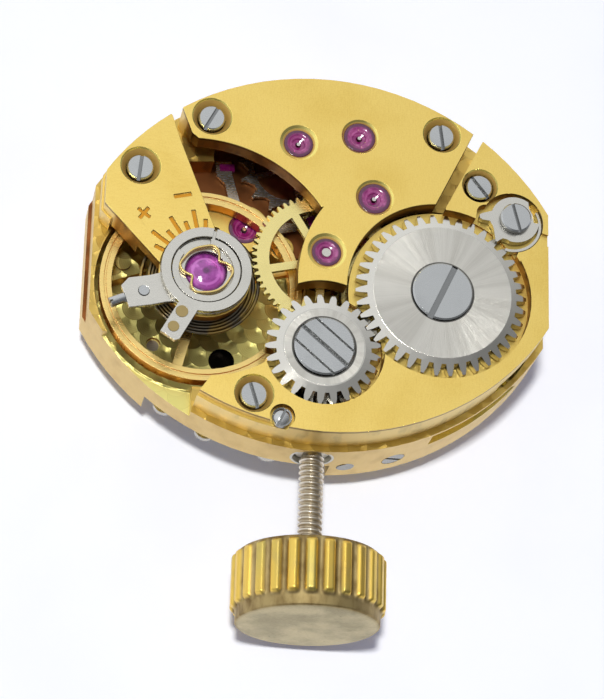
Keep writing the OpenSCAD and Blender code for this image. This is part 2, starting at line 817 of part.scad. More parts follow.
module crown_wheel() {
    color([0.78, 0.78, 0.76]) difference() {
        intersection() {
            slab(z_crw, 3.7) translate(crw) gear(crownw_t, m_wind, dir2(crw, rat) + 180 / crownw_t, 0.9, 1.5, 0.11, 0.23);
            bevelled_disc(crw, z_crw, 1.36, 3.6, 2, 3.38);
        }
        rod(crw, 0.75, 2.9, 4);
        rod(crw, 1.03, 3.45, 4);
    }
}

module crown_wheel_screw() {
    color([0.76, 0.76, 0.75]) difference() {
        union() {
            rod(crw, 1.0, 3.47, 3.72);
            rod(crw, 0.24, 2.65, 3.47);
        }
        for (d = [-0.55, 0, 0.55]) translate([crw[0], crw[1], 3.6]) rotate(-40) translate([-1.2, d - (d == 0 ? 0.1 : 0.04), 0]) cube([2.4, d == 0 ? 0.2 : 0.08, 1]);
    }
}

module click() {
    color([0.74, 0.74, 0.74]) difference() {
        slab(3.3, 3.58) translate(hook) {
            circle(0.82);
            // Beak on the left and the claw that drops between the ratchet's teeth
            polygon([
                [-0.4, 0.62], [-0.72, 0.27], [-1.1, 0.14], [-1.2, 0.08], [-1.2, -0.04], [-1.1, -0.1], [-0.85, -0.12],
                [-0.72, -0.4], [-0.69, -0.62], [-0.66, -0.84], [-0.56, -0.86], [-0.3, -0.6], [0, 0]
            ]);
        }
        rod(hook + [-1.04, -0.42], 0.31, 3, 4);
        rod(hook + [-0.36, -1.0], 0.27, 3, 4);
        rod(hook, 0.24, 3, 4);
        // Room for the end of the click spring
        slab(3, 4) translate(hook) polygon([[0.64, -0.06], [1, -0.06], [1, 0.9], [0.46, 0.68], [0.48, 0.44], [0.6, 0.24]]);
    }
}

module click_screw() {
    color([0.76, 0.76, 0.75]) difference() {
        union() {
            rod(hook, 0.52, 3.6, 3.8);
            rod(hook, 0.21, 3.25, 3.6);
            rod(hook, 0.2, 2.6, 3.25);
        }
        slot_cut(hook, 105, 0.11, 0.52, 3.7);
    }
}

// Click spring, a bent wire in the pocket beside the click
module click_spring() {
    color([0.8, 0.66, 0.4]) {
        slab(3.26, 3.5) translate(hook + spring_off) difference() {
            circle(1.02);
            circle(0.93);
            polygon([[0, 0], [3, 1.75], [3, 3], [-3, 3], [-3, -3], [-0.7, -3]]);
        }
    }
}

module winding_stem() {
    color([0.72, 0.72, 0.7]) {
        translate([0, 0, stem_z]) rotate([90, 0, 0]) rotate_extrude() polygon([
            [0, 2.35], [0.18, 2.35], [0.2, 2.4], [0.2, 4.7], [0.32, 4.7], [0.32, 5.52], [0.3, 5.52], [0.3, 5.88], [0.6, 5.88], [0.6, 6.3],
            [0.56, 6.34], [0.33, 6.34], [0.33, 6.5], [thread_r - 0.08, 6.5], [thread_r - 0.08, 10.6], [0, 10.6]
        ]);
        difference() {
            translate([0, 0, stem_z]) rotate([90, 0, 0]) rotate_extrude() polygon(concat(
                [[0.2, 6.5]],
                [for (i = [0 : 16], p = [[-0.08, 0], [0, 0.08], [0, 0.12], [-0.08, 0.2]]) [thread_r + p[0], 6.5 + i * thread_pitch + p[1] * thread_pitch / 0.2]],
                [[0.2, 6.5 + 17 * thread_pitch]]
            ));
            translate([-2, -20, 0]) cube([4, 20 - crown_end + 2.35 - 0, 4]);
        }
    }
}

module crown() {
    len = 2.35;
    color([0.8, 0.62, 0.28]) difference() {
        translate([0, -crown_end + len, stem_z]) rotate([90, 0, 0]) intersection() {
            linear_extrude(len) polygon([for (i = [0 : crown_flutes - 1], p = [[-0.34, crown_r - 0.16], [-0.2, crown_r], [0.2, crown_r], [0.34, crown_r - 0.16]]) polar(p[1], (i + p[0]) * 360 / crown_flutes)]);
            rotate_extrude() polygon([
                [0, 0], [crown_r - 0.25, 0], [crown_r + 0.01, 0.16], [crown_r + 0.01, len - 0.3], [2.05, len], [0, len]
            ]);
        }
        stem_rod(thread_r - 0.08, -10.65, -5);
    }
}

module winding_pinion() {
    gap_a = 270 - (round((270 - dir2(crw, rat)) / (360 / crownw_t)) * (360 / crownw_t) + dir2(crw, rat));
    tooth_a = 90 + gap_a * m_wind * crownw_t / 2 / 1.4;
    color([0.72, 0.72, 0.7]) difference() {
        translate([0, -4.7, stem_z]) rotate([90, 0, 0]) union() {
            translate([0, 0, 0.2]) linear_extrude(0.4) polygon([for (i = [0 : winder_t - 1], p = [[-0.3, 1.12], [-0.12, 1.43], [0.12, 1.43], [0.3, 1.12]]) polar(p[1], tooth_a + (i + p[0]) * 18)]);
            cylinder(r = 0.95, h = 0.7);
        }
        stem_rod(0.34, -6, -4);
    }
}

module sliding_pinion() {
    color([0.72, 0.72, 0.7]) difference() {
        translate([0, 0, stem_z]) rotate([90, 0, 0]) rotate_extrude() polygon([
            [0.22, 3.72], [0.93, 3.72], [0.93, 4.03], [0.55, 4.03], [0.55, 4.37], [0.93, 4.37], [0.93, 4.66], [0.22, 4.66]
        ]);
        for (i = [0 : 11]) translate([0, -3.62, stem_z]) rotate([0, i * 30, 0]) translate([-0.08, -0.22, 0.6]) cube([0.16, 0.22, 0.5]);
    }
}

// Lever whose pin sits in the stem's groove
module setting_lever() {
    pin = [0, -5.7];
    color([0.72, 0.72, 0.7]) difference() {
        union() {
            slab(0.5, 0.8) {
                translate(lever_c) circle(0.45);
                translate(lever_c) rotate(dir2(lever_c, pin)) translate([0, -0.22]) square([1.31, 0.44]);
                translate(pin) circle(0.22);
                translate(lever_c) rotate(125) translate([0, -0.25]) square([1.1, 0.5]);
            }
            rod(pin, 0.13, 0.6, 1.24);
            rod(lever_c, 0.35, 0.5, 0.88);
        }
        rod(lever_c, 0.19, 0, 2);
    }
}

// Yoke whose tongue sits in the sliding pinion's groove
module yoke() {
    tongue = [0.35, -4.25];
    color([0.72, 0.72, 0.7]) difference() {
        slab(0.7, 0.92) {
            translate(yoke_c) circle(0.4);
            translate(yoke_c) rotate(dir2(yoke_c, tongue)) polygon([[0, -0.35], [1.3, -0.2], [1.5, -0.08], [2.76, -0.08], [2.76, 0.08], [1.5, 0.08], [1.3, 0.2], [0, 0.35]]);
        }
        rod(yoke_c, 0.2, 0, 2);
    }
}

// Sprung cover plate over the keyless work, with the post that the yoke turns on
module keyless_cover() {
    color([0.75, 0.75, 0.74]) difference() {
        union() {
            slab(0.16, 0.4) intersection() {
                union() {
                    oval(plate_r - 0.5, plate_q, flange_w);
                    for (p = cover_lobes) translate(p) circle(0.4);
                }
                polygon([[-5.3, -3.8], [-5.3, -7], [-0.95, -7], [-0.95, -5.2], [-1.6, -3.2], [-3.1, -3.15]]);
            }
            rod(yoke_c, 0.19, 0.3, 0.94);
            for (p = cover_feet) rod(p, 0.35, 0.3, 0.95);
        }
        for (p = cover_feet) {
            rod(p, 0.16, -1, 2);
            rod(p, 0.37, -1, 0.24);
        }
    }
}

module keyless_screws() {
    color([0.75, 0.75, 0.74]) for (p = cover_feet) difference() {
        union() {
            rod(p, 0.36, 0.04, 0.24);
            rod(p, 0.16, 0.24, 1.12);
        }
        translate([p[0] - 0.5, p[1] - 0.05, -0.5]) cube([1, 0.1, 0.62]);
    }
}

module setting_wheel() {
    color([0.85, 0.75, 0.5]) slab(0.36, 0.64) translate(set_c) difference() {
        gear(20, m_set, dir2(set_c, min_c), 0.9);
        circle(0.25);
    }
}

module minute_wheel() {
    color([0.85, 0.75, 0.5]) difference() {
        union() {
            slab(0.36, 0.52) translate(min_c) gear(36, m_min, dir2(min_c, [0, 0]) + 5, 0.9);
            slab(0.06, 0.36) translate(min_c) gear(10, m_hour, dir2(min_c, [0, 0]), 0.75, 1.1, 0.08, 0.16);
        }
        rod(min_c, 0.17, -1, 2);
    }
}

module cannon_pinion() {
    color([0.72, 0.72, 0.7]) difference() {
        union() {
            slab(0.32, 0.58) gear(12, m_min, dir2([0, 0], min_c), 0.8, 1.1, 0.08, 0.17);
            rod([0, 0], 0.37, -0.8, 0.4);
            rod([0, 0], 0.3, -1.15, -0.8);
        }
        rod([0, 0], 0.21, -0.75, 1);
    }
}

module hour_wheel() {
    color([0.88, 0.78, 0.5]) difference() {
        union() {
            slab(0.08, 0.24) gear(40, m_hour, dir2([0, 0], min_c) + 4.5, 0.85);
            rod([0, 0], 0.55, -0.6, 0.24);
        }
        rod([0, 0], 0.4, -1, 1);
    }
}

main_plate();
barrel_bridge();
train_bridge();
balance_cock();
pallet_cock();
bridge_screws();
pallet_cock_screws();
setting_lever_screw();
dial_foot_screws();
train_jewels();
plate_jewels();
pallet_jewel();
upper_setting();
lower_setting();
cap_jewels();
lyre_springs();
stud_carrier();
hairspring_stud();
stud_screw();
regulator_index();
curb_pins();
hairspring();
balance_wheel();
balance_staff();
roller();
roller_jewel();
pallet_fork();
pallet_stones();
escape_wheel();
escape_pinion();
fourth_wheel();
fourth_pinion();
third_wheel();
third_pinion();
centre_wheel();
centre_pinion();
barrel_drum();
barrel_cover();
mainspring();
barrel_arbor();
ratchet_wheel();
ratchet_screw();
crown_wheel();
crown_wheel_screw();
click();
click_screw();
click_spring();
winding_stem();
crown();
winding_pinion();
sliding_pinion();
setting_lever();
yoke();
keyless_cover();
keyless_screws();
setting_wheel();
minute_wheel();
cannon_pinion();
hour_wheel();
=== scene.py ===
"""Looks of an oval hand-wound watch movement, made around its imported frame.

Pieces are made in millimetres and settled into the frame's metres. Each piece rides on the
body that carries it.
"""

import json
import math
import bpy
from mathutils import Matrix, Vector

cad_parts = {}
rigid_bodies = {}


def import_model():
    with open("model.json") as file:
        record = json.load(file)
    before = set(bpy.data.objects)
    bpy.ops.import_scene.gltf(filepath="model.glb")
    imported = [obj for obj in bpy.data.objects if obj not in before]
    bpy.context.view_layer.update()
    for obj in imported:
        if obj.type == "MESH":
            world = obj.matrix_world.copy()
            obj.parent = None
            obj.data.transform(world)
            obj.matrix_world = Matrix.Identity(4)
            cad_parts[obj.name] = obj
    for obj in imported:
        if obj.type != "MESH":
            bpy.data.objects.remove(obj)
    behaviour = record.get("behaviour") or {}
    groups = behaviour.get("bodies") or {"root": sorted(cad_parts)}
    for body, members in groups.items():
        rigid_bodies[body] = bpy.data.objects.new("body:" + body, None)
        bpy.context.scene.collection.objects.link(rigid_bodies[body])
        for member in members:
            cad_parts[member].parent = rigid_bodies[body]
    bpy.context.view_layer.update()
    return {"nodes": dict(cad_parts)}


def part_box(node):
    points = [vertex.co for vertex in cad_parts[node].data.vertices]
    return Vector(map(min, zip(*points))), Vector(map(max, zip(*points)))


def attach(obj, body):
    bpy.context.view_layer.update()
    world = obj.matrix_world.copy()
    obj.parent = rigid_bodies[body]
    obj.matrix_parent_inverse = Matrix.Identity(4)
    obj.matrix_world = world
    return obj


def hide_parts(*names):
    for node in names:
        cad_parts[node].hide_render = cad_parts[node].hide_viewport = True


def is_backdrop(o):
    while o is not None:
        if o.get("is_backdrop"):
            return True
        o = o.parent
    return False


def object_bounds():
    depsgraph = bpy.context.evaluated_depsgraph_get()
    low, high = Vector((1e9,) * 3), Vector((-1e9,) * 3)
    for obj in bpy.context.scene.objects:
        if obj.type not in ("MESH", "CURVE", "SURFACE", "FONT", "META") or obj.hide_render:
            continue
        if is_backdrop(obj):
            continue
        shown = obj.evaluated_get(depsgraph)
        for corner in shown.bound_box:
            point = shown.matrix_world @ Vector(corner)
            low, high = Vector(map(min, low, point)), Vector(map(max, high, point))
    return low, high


bl_info = {
    "name": "Oval watch movement",
    "version": (1, 0, 0),
    "blender": (4, 5, 0),
    "location": "3D View > Sidebar > Movement",
    "description": "Builds the finished pieces of an oval watch movement around its frame",
    "category": "Add Mesh",
}

import bmesh
import bpy
from mathutils import Euler, Matrix, Vector

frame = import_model()

MM = 0.001
TURN = 2 * math.pi
# Distance from the middle to the centres of the plate's two long arcs, as in the part
ARC_OFFSET = 2.35


def srgb(*display):
    """Linear colour from a display colour of 0 to 255."""
    return tuple(c / 255 / 12.92 if c < 11 else ((c / 255 + 0.055) / 1.055) ** 2.4 for c in display)


def dim(colour, *factors):
    """The colour times one factor, or times a factor for each channel."""
    return tuple(c * k for c, k in zip(colour, factors * 3 if len(factors) == 1 else factors))


def low(node):
    """A node's lowest corner in millimetres."""
    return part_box(node)[0] / MM


def high(node):
    """A node's highest corner in millimetres."""
    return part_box(node)[1] / MM


def middle(node):
    """The centre of a node's box in millimetres."""
    return (low(node) + high(node)) / 2


def polar(radius, degrees):
    angle = math.radians(degrees)
    return Vector((radius * math.cos(angle), radius * math.sin(angle), 0))


# Axes of the main arbors, read from the frame
BALANCE = middle("balance_staff")
RATCHET = middle("barrel_arbor")
CROWN_WHEEL = middle("crown_wheel_screw")
ESCAPE = middle("escape_pinion")
FOURTH = middle("fourth_pinion")
THIRD = middle("third_pinion")
PALLET = middle("pallet_jewel")
CLICK = middle("click_screw")
LEVER = middle("setting_lever_screw")
STEM_Z = middle("winding_stem").z
BRIDGE_TOP = high("train_bridge").z
# Jewels: x, y and radius
TRAIN_JEWELS = (
    (0.0, 0.0, 0.49), (THIRD.x, THIRD.y, 0.54),
    (FOURTH.x, FOURTH.y, 0.53), (ESCAPE.x, ESCAPE.y, 0.49),
)
PALLET_JEWEL = (PALLET.x, PALLET.y, 0.53)


def tint(name, description, *display):
    """A colour for the panel, from a display colour of 0 to 255."""
    return bpy.props.FloatVectorProperty(
        name=name, description=description, subtype="COLOR", default=srgb(*display)
    )


def size(name, description, default, least, most):
    """A size in millimetres for the panel."""
    return bpy.props.FloatProperty(
        name=name, description=description + ", in mm", default=default, min=least, max=most
    )


def count(name, description, default, least, most):
    """A whole number for the panel."""
    return bpy.props.IntProperty(
        name=name, description=description, default=default, min=least, max=most
    )


def turned(name, description, degrees):
    """An angle for the panel."""
    return bpy.props.FloatProperty(
        name=name, description=description, subtype="ANGLE", default=math.radians(degrees)
    )


class MovementColours(bpy.types.PropertyGroup):
    """Colours of the finishes."""

    bridge: tint("Bridge gilt", "Satin gilt on the bridges' tops", 253, 222, 126)
    # Painted shade: this dark gilt stands for the shade on the inner walls
    bridge_wall_shade: tint("Bridge wall", "Dark gilt on the bridges' inner walls", 170, 122, 52)
    bridge_side: tint("Bridge side", "Tan gilt on the bridges' outer walls", 236, 212, 146)
    plate_floor: tint("Plate floor", "Circular-grained gilt under the balance", 250, 238, 148)
    # Painted shade: this darker coppery gilt stands for the shade under the train
    train_floor_shade: tint("Train floor", "Coppery gilt under the train", 168, 108, 64)
    ledge: tint("Ledge", "Plain gilt that the bridges stand on", 238, 202, 108)
    plate_wall: tint("Plate wall", "Worn gilt round the plate's side", 224, 196, 132)
    steel: tint("Steel", "Polished steel of wheels and levers", 222, 218, 206)
    screw: tint("Screw steel", "Polished steel of the screw heads", 200, 201, 198)
    wheel: tint("Wheel gilt", "Pale gilt of the train wheels", 255, 236, 156)
    balance: tint("Balance gilt", "Warm gilt of the balance", 255, 222, 138)
    ruby: tint("Ruby", "Synthetic ruby of the jewels", 150, 26, 112)
    cap_ruby: tint("Cap ruby", "Ruby of the balance's cap jewels", 160, 64, 156)
    crown_ridge: tint("Crown ridge", "Worn gold on the crown's ridges", 240, 202, 96)
    # Between the ridges this colour is dirt and painted shade
    crown_dirt_and_shade: tint("Crown valley", "Brown base metal between the ridges", 184, 162, 110)
    crown_end: tint("Crown end", "Rubbed metal on the crown's end", 206, 192, 152)


class MovementSizes(bpy.types.PropertyGroup):
    """Sizes of the fine detail."""

    edge: size("Edge", "Width of the bevel on bridge edges", 0.035, 0.005, 0.1)
    tooth_edge: size("Tooth edge", "Bevel on wheels and small parts", 0.015, 0.004, 0.05)
    spring_turns: count("Hairspring turns", "Turns of the hairspring's inner coil", 12, 8, 16)
    spring_thick: size("Hairspring thickness", "Thickness of the blade", 0.03, 0.01, 0.05)
    mainspring_turns: count("Mainspring turns", "Turns in the barrel", 11, 6, 14)
    crown_flutes: count("Crown ridges", "Ridges round the crown", 26, 20, 32)
    thread_pitch: size("Thread pitch", "Pitch of the stem's thread", 0.2, 0.15, 0.3)


class MovementStage(bpy.types.PropertyGroup):
    """Camera, floor and surrounding light."""

    azimuth: turned("Azimuth", "Turn of the camera round the movement", -20.825)
    elevation: turned("Elevation", "Height of the camera above the horizon", 66.38)
    roll: turned("Roll", "Turn of the picture about the line of sight", 24.169)
    distance: bpy.props.FloatProperty(
        name="Distance", description="From the camera to the aim point",
        subtype="DISTANCE", unit="LENGTH", default=0.092172,
    )
    aim: bpy.props.FloatVectorProperty(
        name="Aim", description="Point on the bridges at the picture's centre",
        subtype="XYZ", unit="LENGTH", default=(-0.000738, -0.003547, 0.00365),
    )
    lens: size("Lens", "Focal length of the camera", 147.2, 50, 300)
    floor: tint("Floor", "Colour of the surface that it lies on", 246, 249, 255)
    ambient: bpy.props.FloatProperty(
        name="Ambient", description="Strength of the light all round", default=0.3, min=0, max=1
    )


def adds(operation):
    """A method of Value that adds a Math node."""
    return lambda value, *others: value.math(operation, *others)


class Value:
    """An output socket of a node. Arithmetic on it adds Math nodes to its tree."""

    def __init__(self, graph, socket):
        self.graph = graph
        self.socket = socket

    def math(self, operation, *others):
        return self.graph.node("ShaderNodeMath", {"operation": operation}, self, *others)

    def __rsub__(self, other):
        return self.graph.node("ShaderNodeMath", {"operation": "SUBTRACT"}, other, self)

    __add__ = __radd__ = adds("ADD")
    __mul__ = __rmul__ = adds("MULTIPLY")
    __sub__ = adds("SUBTRACT")
    __truediv__ = adds("DIVIDE")
    __gt__ = adds("GREATER_THAN")
    __lt__ = adds("LESS_THAN")
    __abs__ = adds("ABSOLUTE")
    at_least = adds("MAXIMUM")
    at_most = adds("MINIMUM")


class Graph:
    """A node tree with one method that adds any node."""

    def __init__(self, tree):
        self.tree = tree

    def feed(self, socket, value):
        if isinstance(value, Value):
            self.tree.links.new(value.socket, socket)
        elif value is not None:
            if socket.type == "RGBA" and len(value) == 3:
                value = (*value, 1)
            socket.default_value = value

    def node(self, kind, settings=None, *values, out=0, **named):
        made = self.tree.nodes.new(kind)
        for key, value in (settings or {}).items():
            setattr(made, key, value)
        for socket, value in zip(made.inputs, values):
            self.feed(socket, value)
        for name, value in named.items():
            self.feed(made.inputs[name.replace("_", " ")], value)
        return Value(self, made.outputs[out]) if made.outputs else None

    def split(self, vector):
        made = self.node("ShaderNodeSeparateXYZ", None, vector)
        return [Value(self, s) for s in made.socket.node.outputs]

    def join(self, *parts):
        return self.node("ShaderNodeCombineXYZ", None, *parts)

    def ramp(self, value, start, end, low_value=0.0, high_value=1.0, kind="SMOOTHSTEP"):
        """The value eased from start to end."""
        settings = {"interpolation_type": kind}
        return self.node("ShaderNodeMapRange", settings, value, start, end, low_value, high_value)

    def band(self, value, start, full, fade, end):
        """1 from full to fade, 0 before start and after end, and eased between them."""
        return self.ramp(value, start, full) * (1 - self.ramp(value, fade, end))

    def distance(self, x, y, centre=(0, 0)):
        dx, dy = x - centre[0], y - centre[1]
        return (dx * dx + dy * dy).math("SQRT")

    def seen(self):
        """Masks of what camera, mirrors and clear pieces see, and of what mirrors see."""
        rays = self.node("ShaderNodeLightPath").socket.node.outputs
        keys = ("Is Camera Ray", "Is Glossy Ray", "Is Transmission Ray")
        direct, mirrored, through = (Value(self, rays[key]) for key in keys)
        return direct.at_least(mirrored).at_least(through), mirrored


class Finish(Graph):
    """A material in object coordinates, in millimetres."""

    def __init__(self, name):
        self.material = bpy.data.materials.new(name)
        self.material.use_nodes = True
        super().__init__(self.material.node_tree)
        self.tree.nodes.clear()
        made = self.node("ShaderNodeTexCoord", out="Object")
        self.place = self.node("ShaderNodeVectorMath", {"operation": "SCALE"}, made, Scale=1 / MM)
        self.x, self.y, self.z = self.split(self.place)
        self.up = self.split(Value(self, made.socket.node.outputs["Normal"]))[2]

    def wall(self):
        """1 on upright faces and 0 on level ones."""
        return 1 - self.ramp(abs(self.up), 0.3, 0.8)

    def outside(self):
        """1 near the movement's outline and 0 further in."""
        near_arc = self.distance(self.x, self.y - ARC_OFFSET)
        far_arc = self.distance(self.x, self.y + ARC_OFFSET)
        return self.ramp(near_arc.at_least(far_arc).at_least(abs(self.x) + 1.15), 8.05, 8.2)

    def noise(self, scale, stretch=(1, 1, 1), detail=2.0):
        settings = {"operation": "MULTIPLY"}
        stretched = self.node("ShaderNodeVectorMath", settings, self.place, stretch)
        return self.noise_at(stretched, scale, detail)

    def noise_at(self, place, scale, detail):
        return self.node("ShaderNodeTexNoise", None, Vector=place, Scale=scale, Detail=detail)

    def mix(self, first, second, factor):
        # The node's colours come after its vector factor, two numbers and two vectors
        skipped = [None] * 5
        settings = {"data_type": "RGBA"}
        return self.node("ShaderNodeMix", settings, factor, *skipped, first, second, out=2)

    def polar(self, centre):
        """Distance and angle round a centre, in millimetres and turns."""
        dx, dy = self.x - centre.x, self.y - centre.y
        return self.distance(self.x, self.y, centre), dy.math("ARCTAN2", dx) / TURN

    def bump(self, height, microns):
        return self.node("ShaderNodeBump", None, Distance=microns * 1e-6, Height=height)

    def surface(self, **sockets):
        shader = self.node("ShaderNodeBsdfPrincipled", None, **sockets)
        self.node("ShaderNodeOutputMaterial", None, shader)
        return self.material

    def metal(self, colour, rough, height, microns, metallic=1.0):
        bumped = self.bump(height, microns)
        return self.surface(Base_Color=colour, Metallic=metallic, Roughness=rough, Normal=bumped)


def satin_gilt(name, top, wall, side, top_z, grain=(9, 1.2, 9), strokes=None):
    """Fine-grained gilt with painted shade on the inner walls, under the top edge and in the brown
    screw seats, a painted highlight on the bevels, and streaked outer walls.
    """
    f = Finish(name)
    upright = f.wall()
    slope = f.band(f.up, 0.25, 0.4, 0.9, 0.96)
    clouds = f.noise(0.45, detail=4)
    lines = f.noise(3.2, stretch=grain, detail=3)
    specks = f.noise(20, detail=1)
    stains = f.noise(2.2, stretch=(1, 1, 0.35), detail=4)
    mottle = f.ramp(clouds, 0.42, 0.75) * 0.5 + f.ramp(lines, 0.35, 0.75) * 0.25
    level = f.mix(top, dim(top, 0.86, 0.8, 0.62), mottle + f.ramp(specks, 0.35, 0.7) * 0.3)
    # Inner walls get painted shade, darker still where stained
    inner = f.mix(wall, dim(wall, 0.45), f.ramp(stains, 0.45, 0.7) * 0.8)
    outer = f.mix(side, dim(side, 0.62), f.ramp(stains, 0.5, 0.75) * 0.6)
    # Painted shade: a dark band on the walls just under the top edge
    under_edge_shade = f.band(f.z, top_z - 0.2, top_z - 0.1, top_z - 0.05, top_z - 0.03)
    shaded_walls = f.mix(f.mix(inner, outer, f.outside()), dim(wall, 0.4), under_edge_shade * 0.75)
    rub = f.ramp(f.noise(1.4, detail=5), 0.66, 0.74) * 0.3
    # Painted highlight: bevels are coloured lighter than the tops
    bright = tuple(min(1, c * 1.15) for c in top)
    colour = f.mix(f.mix(f.mix(level, top, rub), shaded_walls, upright), bright, slope)
    if strokes:
        sunk = f.band(f.z, top_z - 0.1, top_z - 0.08, top_z - 0.03, top_z - 0.02)
        colour = f.mix(colour, strokes, sunk * (1 - upright) * (1 - slope))
    # Painted shade: the screw seats in the countersinks are coloured brown and made less metallic
    seat = slope * (1 - f.ramp(f.z, top_z - 0.07, top_z - 0.05))
    colour = f.mix(colour, srgb(192, 140, 64), seat * 0.75)
    rough = 0.36 + lines * 0.12 + upright * 0.08 - rub * 0.2 - slope * 0.2 + seat * 0.22
    height = (lines * 0.6 + specks * 0.7) * (1 - slope)
    return f.metal(colour, rough, height, 2.2, metallic=1 - seat * 0.55)


def perlage(f, pitch=0.62, row=0.46, radius=0.42):
    """Distance from the centre of the topmost of overlapping spots, and that spot's shade."""
    j = (f.y / row).math("FLOOR")
    reach, tone = None, None
    for dj in (-1, 0, 1):
        line = j + dj
        shift = line.math("FLOORED_MODULO", 2) * (pitch / 2)
        i = ((f.x - shift) / pitch).math("FLOOR")
        for di in (-1, 0, 1):
            # Sines of uneven multiples scatter the spots and their shades
            stray = ((i + di) * 12.9 + line * 78.2).math("SINE")
            cx = (i + (di + 0.5)) * pitch + shift + stray * 0.1
            cy = (line + 0.5) * row + (stray * 17.3).math("SINE") * 0.08
            away = f.distance(f.x - cx, f.y - cy)
            shade = ((cx * 7.3 + cy * 3.1).math("SINE") * 43.7).math("FRACT")
            if reach is None:
                reach, tone = away, shade
            else:
                inside = away < radius
                reach = reach + inside * (away - reach)
                tone = tone + inside * (shade - tone)
    return reach, tone


def plate_gilt(colours):
    """Circular-grained floors with painted shade under the train, a plain ledge, worn outer walls
    and inner walls in painted shade, the hole in painted shade and the pin in the well.
    """
    f = Finish("plate_gilt")
    upright = f.wall()
    reach, tone = perlage(f)
    rings = (reach * 95).math("SINE")
    rim = f.ramp(reach, 0.38, 0.42) * 0.2
    clouds = f.noise(0.7, detail=4)
    stains = f.noise(1.6, stretch=(1, 1, 0.7), detail=5)
    mottle = tone * 0.2 + f.ramp(clouds, 0.4, 0.7) * 0.15 + rim
    grained = f.mix(colours.plate_floor, dim(colours.plate_floor, 0.6, 0.58, 0.4), mottle)
    well = 1 - f.ramp(f.polar(BALANCE)[0], 3.5, 3.6)
    # Painted shade: the floor under the train is a darker coppery gilt
    copper = colours.train_floor_shade
    shaded_under_train = f.mix(copper, dim(copper, 0.5), f.ramp(clouds, 0.4, 0.65))
    ledge = f.ramp(f.z, 2.1, 2.2)
    land = f.mix(colours.ledge, dim(colours.ledge, 0.6), tone * 0.35 + rim)
    beside_stem = 1 - f.ramp(f.y, -2.6, -2.2)
    floor = f.mix(f.mix(shaded_under_train, grained, well.at_least(beside_stem)), land, ledge)
    wall, outline = colours.bridge_wall_shade, colours.plate_wall
    # Inner walls get painted shade from the bridge wall colour, darker where stained
    inner = f.mix(dim(wall, 1.3), dim(wall, 0.6), f.ramp(stains, 0.42, 0.66))
    outer = f.mix(outline, dim(outline, 0.62, 0.52, 0.4), f.ramp(stains, 0.42, 0.8) * 0.4)
    side = f.mix(inner, outer, f.outside())
    # Centre, radius and colour of the hole, whose black is painted shade, and of the pin
    for x, y, radius, shade in (
        (-3.04, -3.21, 0.43, srgb(24, 20, 16)), (-5.32, -2.82, 0.2, srgb(196, 184, 160))
    ):
        spot = (f.distance(f.x, f.y, (x, y)) < radius) * (f.z < 2.0) * (f.z > 0.1)
        floor, side = f.mix(floor, shade, spot), f.mix(side, shade, spot)
    below = f.ramp(f.up, -0.6, -0.3, 1, 0)
    dial_face = f.mix(colours.bridge, dim(colours.bridge, 0.8), f.ramp(clouds, 0.4, 0.7))
    mouth = (f.distance(f.x, f.z - STEM_Z) < 0.72) * (f.y < -5.9) * (f.z < 2.05)
    colour = f.mix(f.mix(f.mix(floor, dial_face, below), side, upright), srgb(218, 216, 206), mouth)
    satin = f.noise(14, stretch=(1, 1, 0.25), detail=2)
    spots = (1 - upright) * well.at_least(ledge * 0.6)
    height = rings * spots * 0.4 + satin * 0.5 + reach * 70 * spots
    return f.metal(colour, 0.3 + satin * 0.12 + upright * 0.12 + spots * 0.04, height, 2.2)


def polished(name, colour, rough=0.2, grain=6.0, wear=0.25, wall_shade=0.6, depth=0.6, shaded_walls=None):
    """Polished metal with faint rubbing, and painted shade on its walls and on the faces that are
    marked for it.
    """
    f = Finish(name)
    clouds = f.noise(1.1, detail=4)
    scratches = f.noise(grain, stretch=(1, 7, 1), detail=3)
    fine = f.noise(30, detail=1)
    rubbed = f.ramp(clouds, 0.45, 0.75) * wear + f.ramp(scratches, 0.55, 0.8) * wear * 0.6
    # Walls get painted shade: the given wall colour or a darker copy of the colour
    side = shaded_walls or dim(colour, wall_shade)
    tone = f.mix(f.mix(colour, dim(colour, 0.78), rubbed), side, f.wall())
    recess = f.node("ShaderNodeAttribute", {"attribute_name": "recess"}, out="Fac")
    # Painted shade on the marked faces of the screw slots
    tone = f.mix(tone, dim(colour, 0.5), recess)
    rough = rough + f.ramp(scratches, 0.4, 0.8) * 0.12 + clouds * 0.06
    return f.metal(tone, rough, scratches * 0.7 + fine * 0.3, depth)


def sunray_steel(name, colour, centre, disc):
    """Steel brushed outwards from a centre as far as the disc's edge, and polished beyond it, with
    painted shade on its walls and round the screw's head.
    """
    f = Finish(name)
    reach, turn = f.polar(centre)
    inside = 1 - f.ramp(reach, disc - 0.03, disc)
    lines = f.noise_at(f.join(turn * 620, reach * 0.5, 0.0), 1.0, 3.0)
    broad = f.noise_at(f.join(turn * 40, 0.3, 0.0), 1.0, 2.0)
    clouds = f.noise(1.3, detail=4)
    brushed = f.ramp(broad, 0.35, 0.7) * inside * 0.5 + f.ramp(lines, 0.4, 0.7) * inside * 0.25
    face = f.mix(colour, dim(colour, 0.74, 0.73, 0.71), brushed + f.ramp(clouds, 0.5, 0.8) * 0.2)
    # Painted shade in the gap round the screw's head
    gap_shade = 1 - f.ramp(abs(reach - 1.04), 0.02, 0.04)
    # Painted shade on the walls
    tone = f.mix(face, dim(colour, 0.5), f.wall() * 0.8)
    tone = f.mix(tone, dim(colour, 0.08), gap_shade * 0.9)
    return f.metal(tone, 0.12 + inside * 0.18 + clouds * 0.05, lines * inside * reach, 5.0)


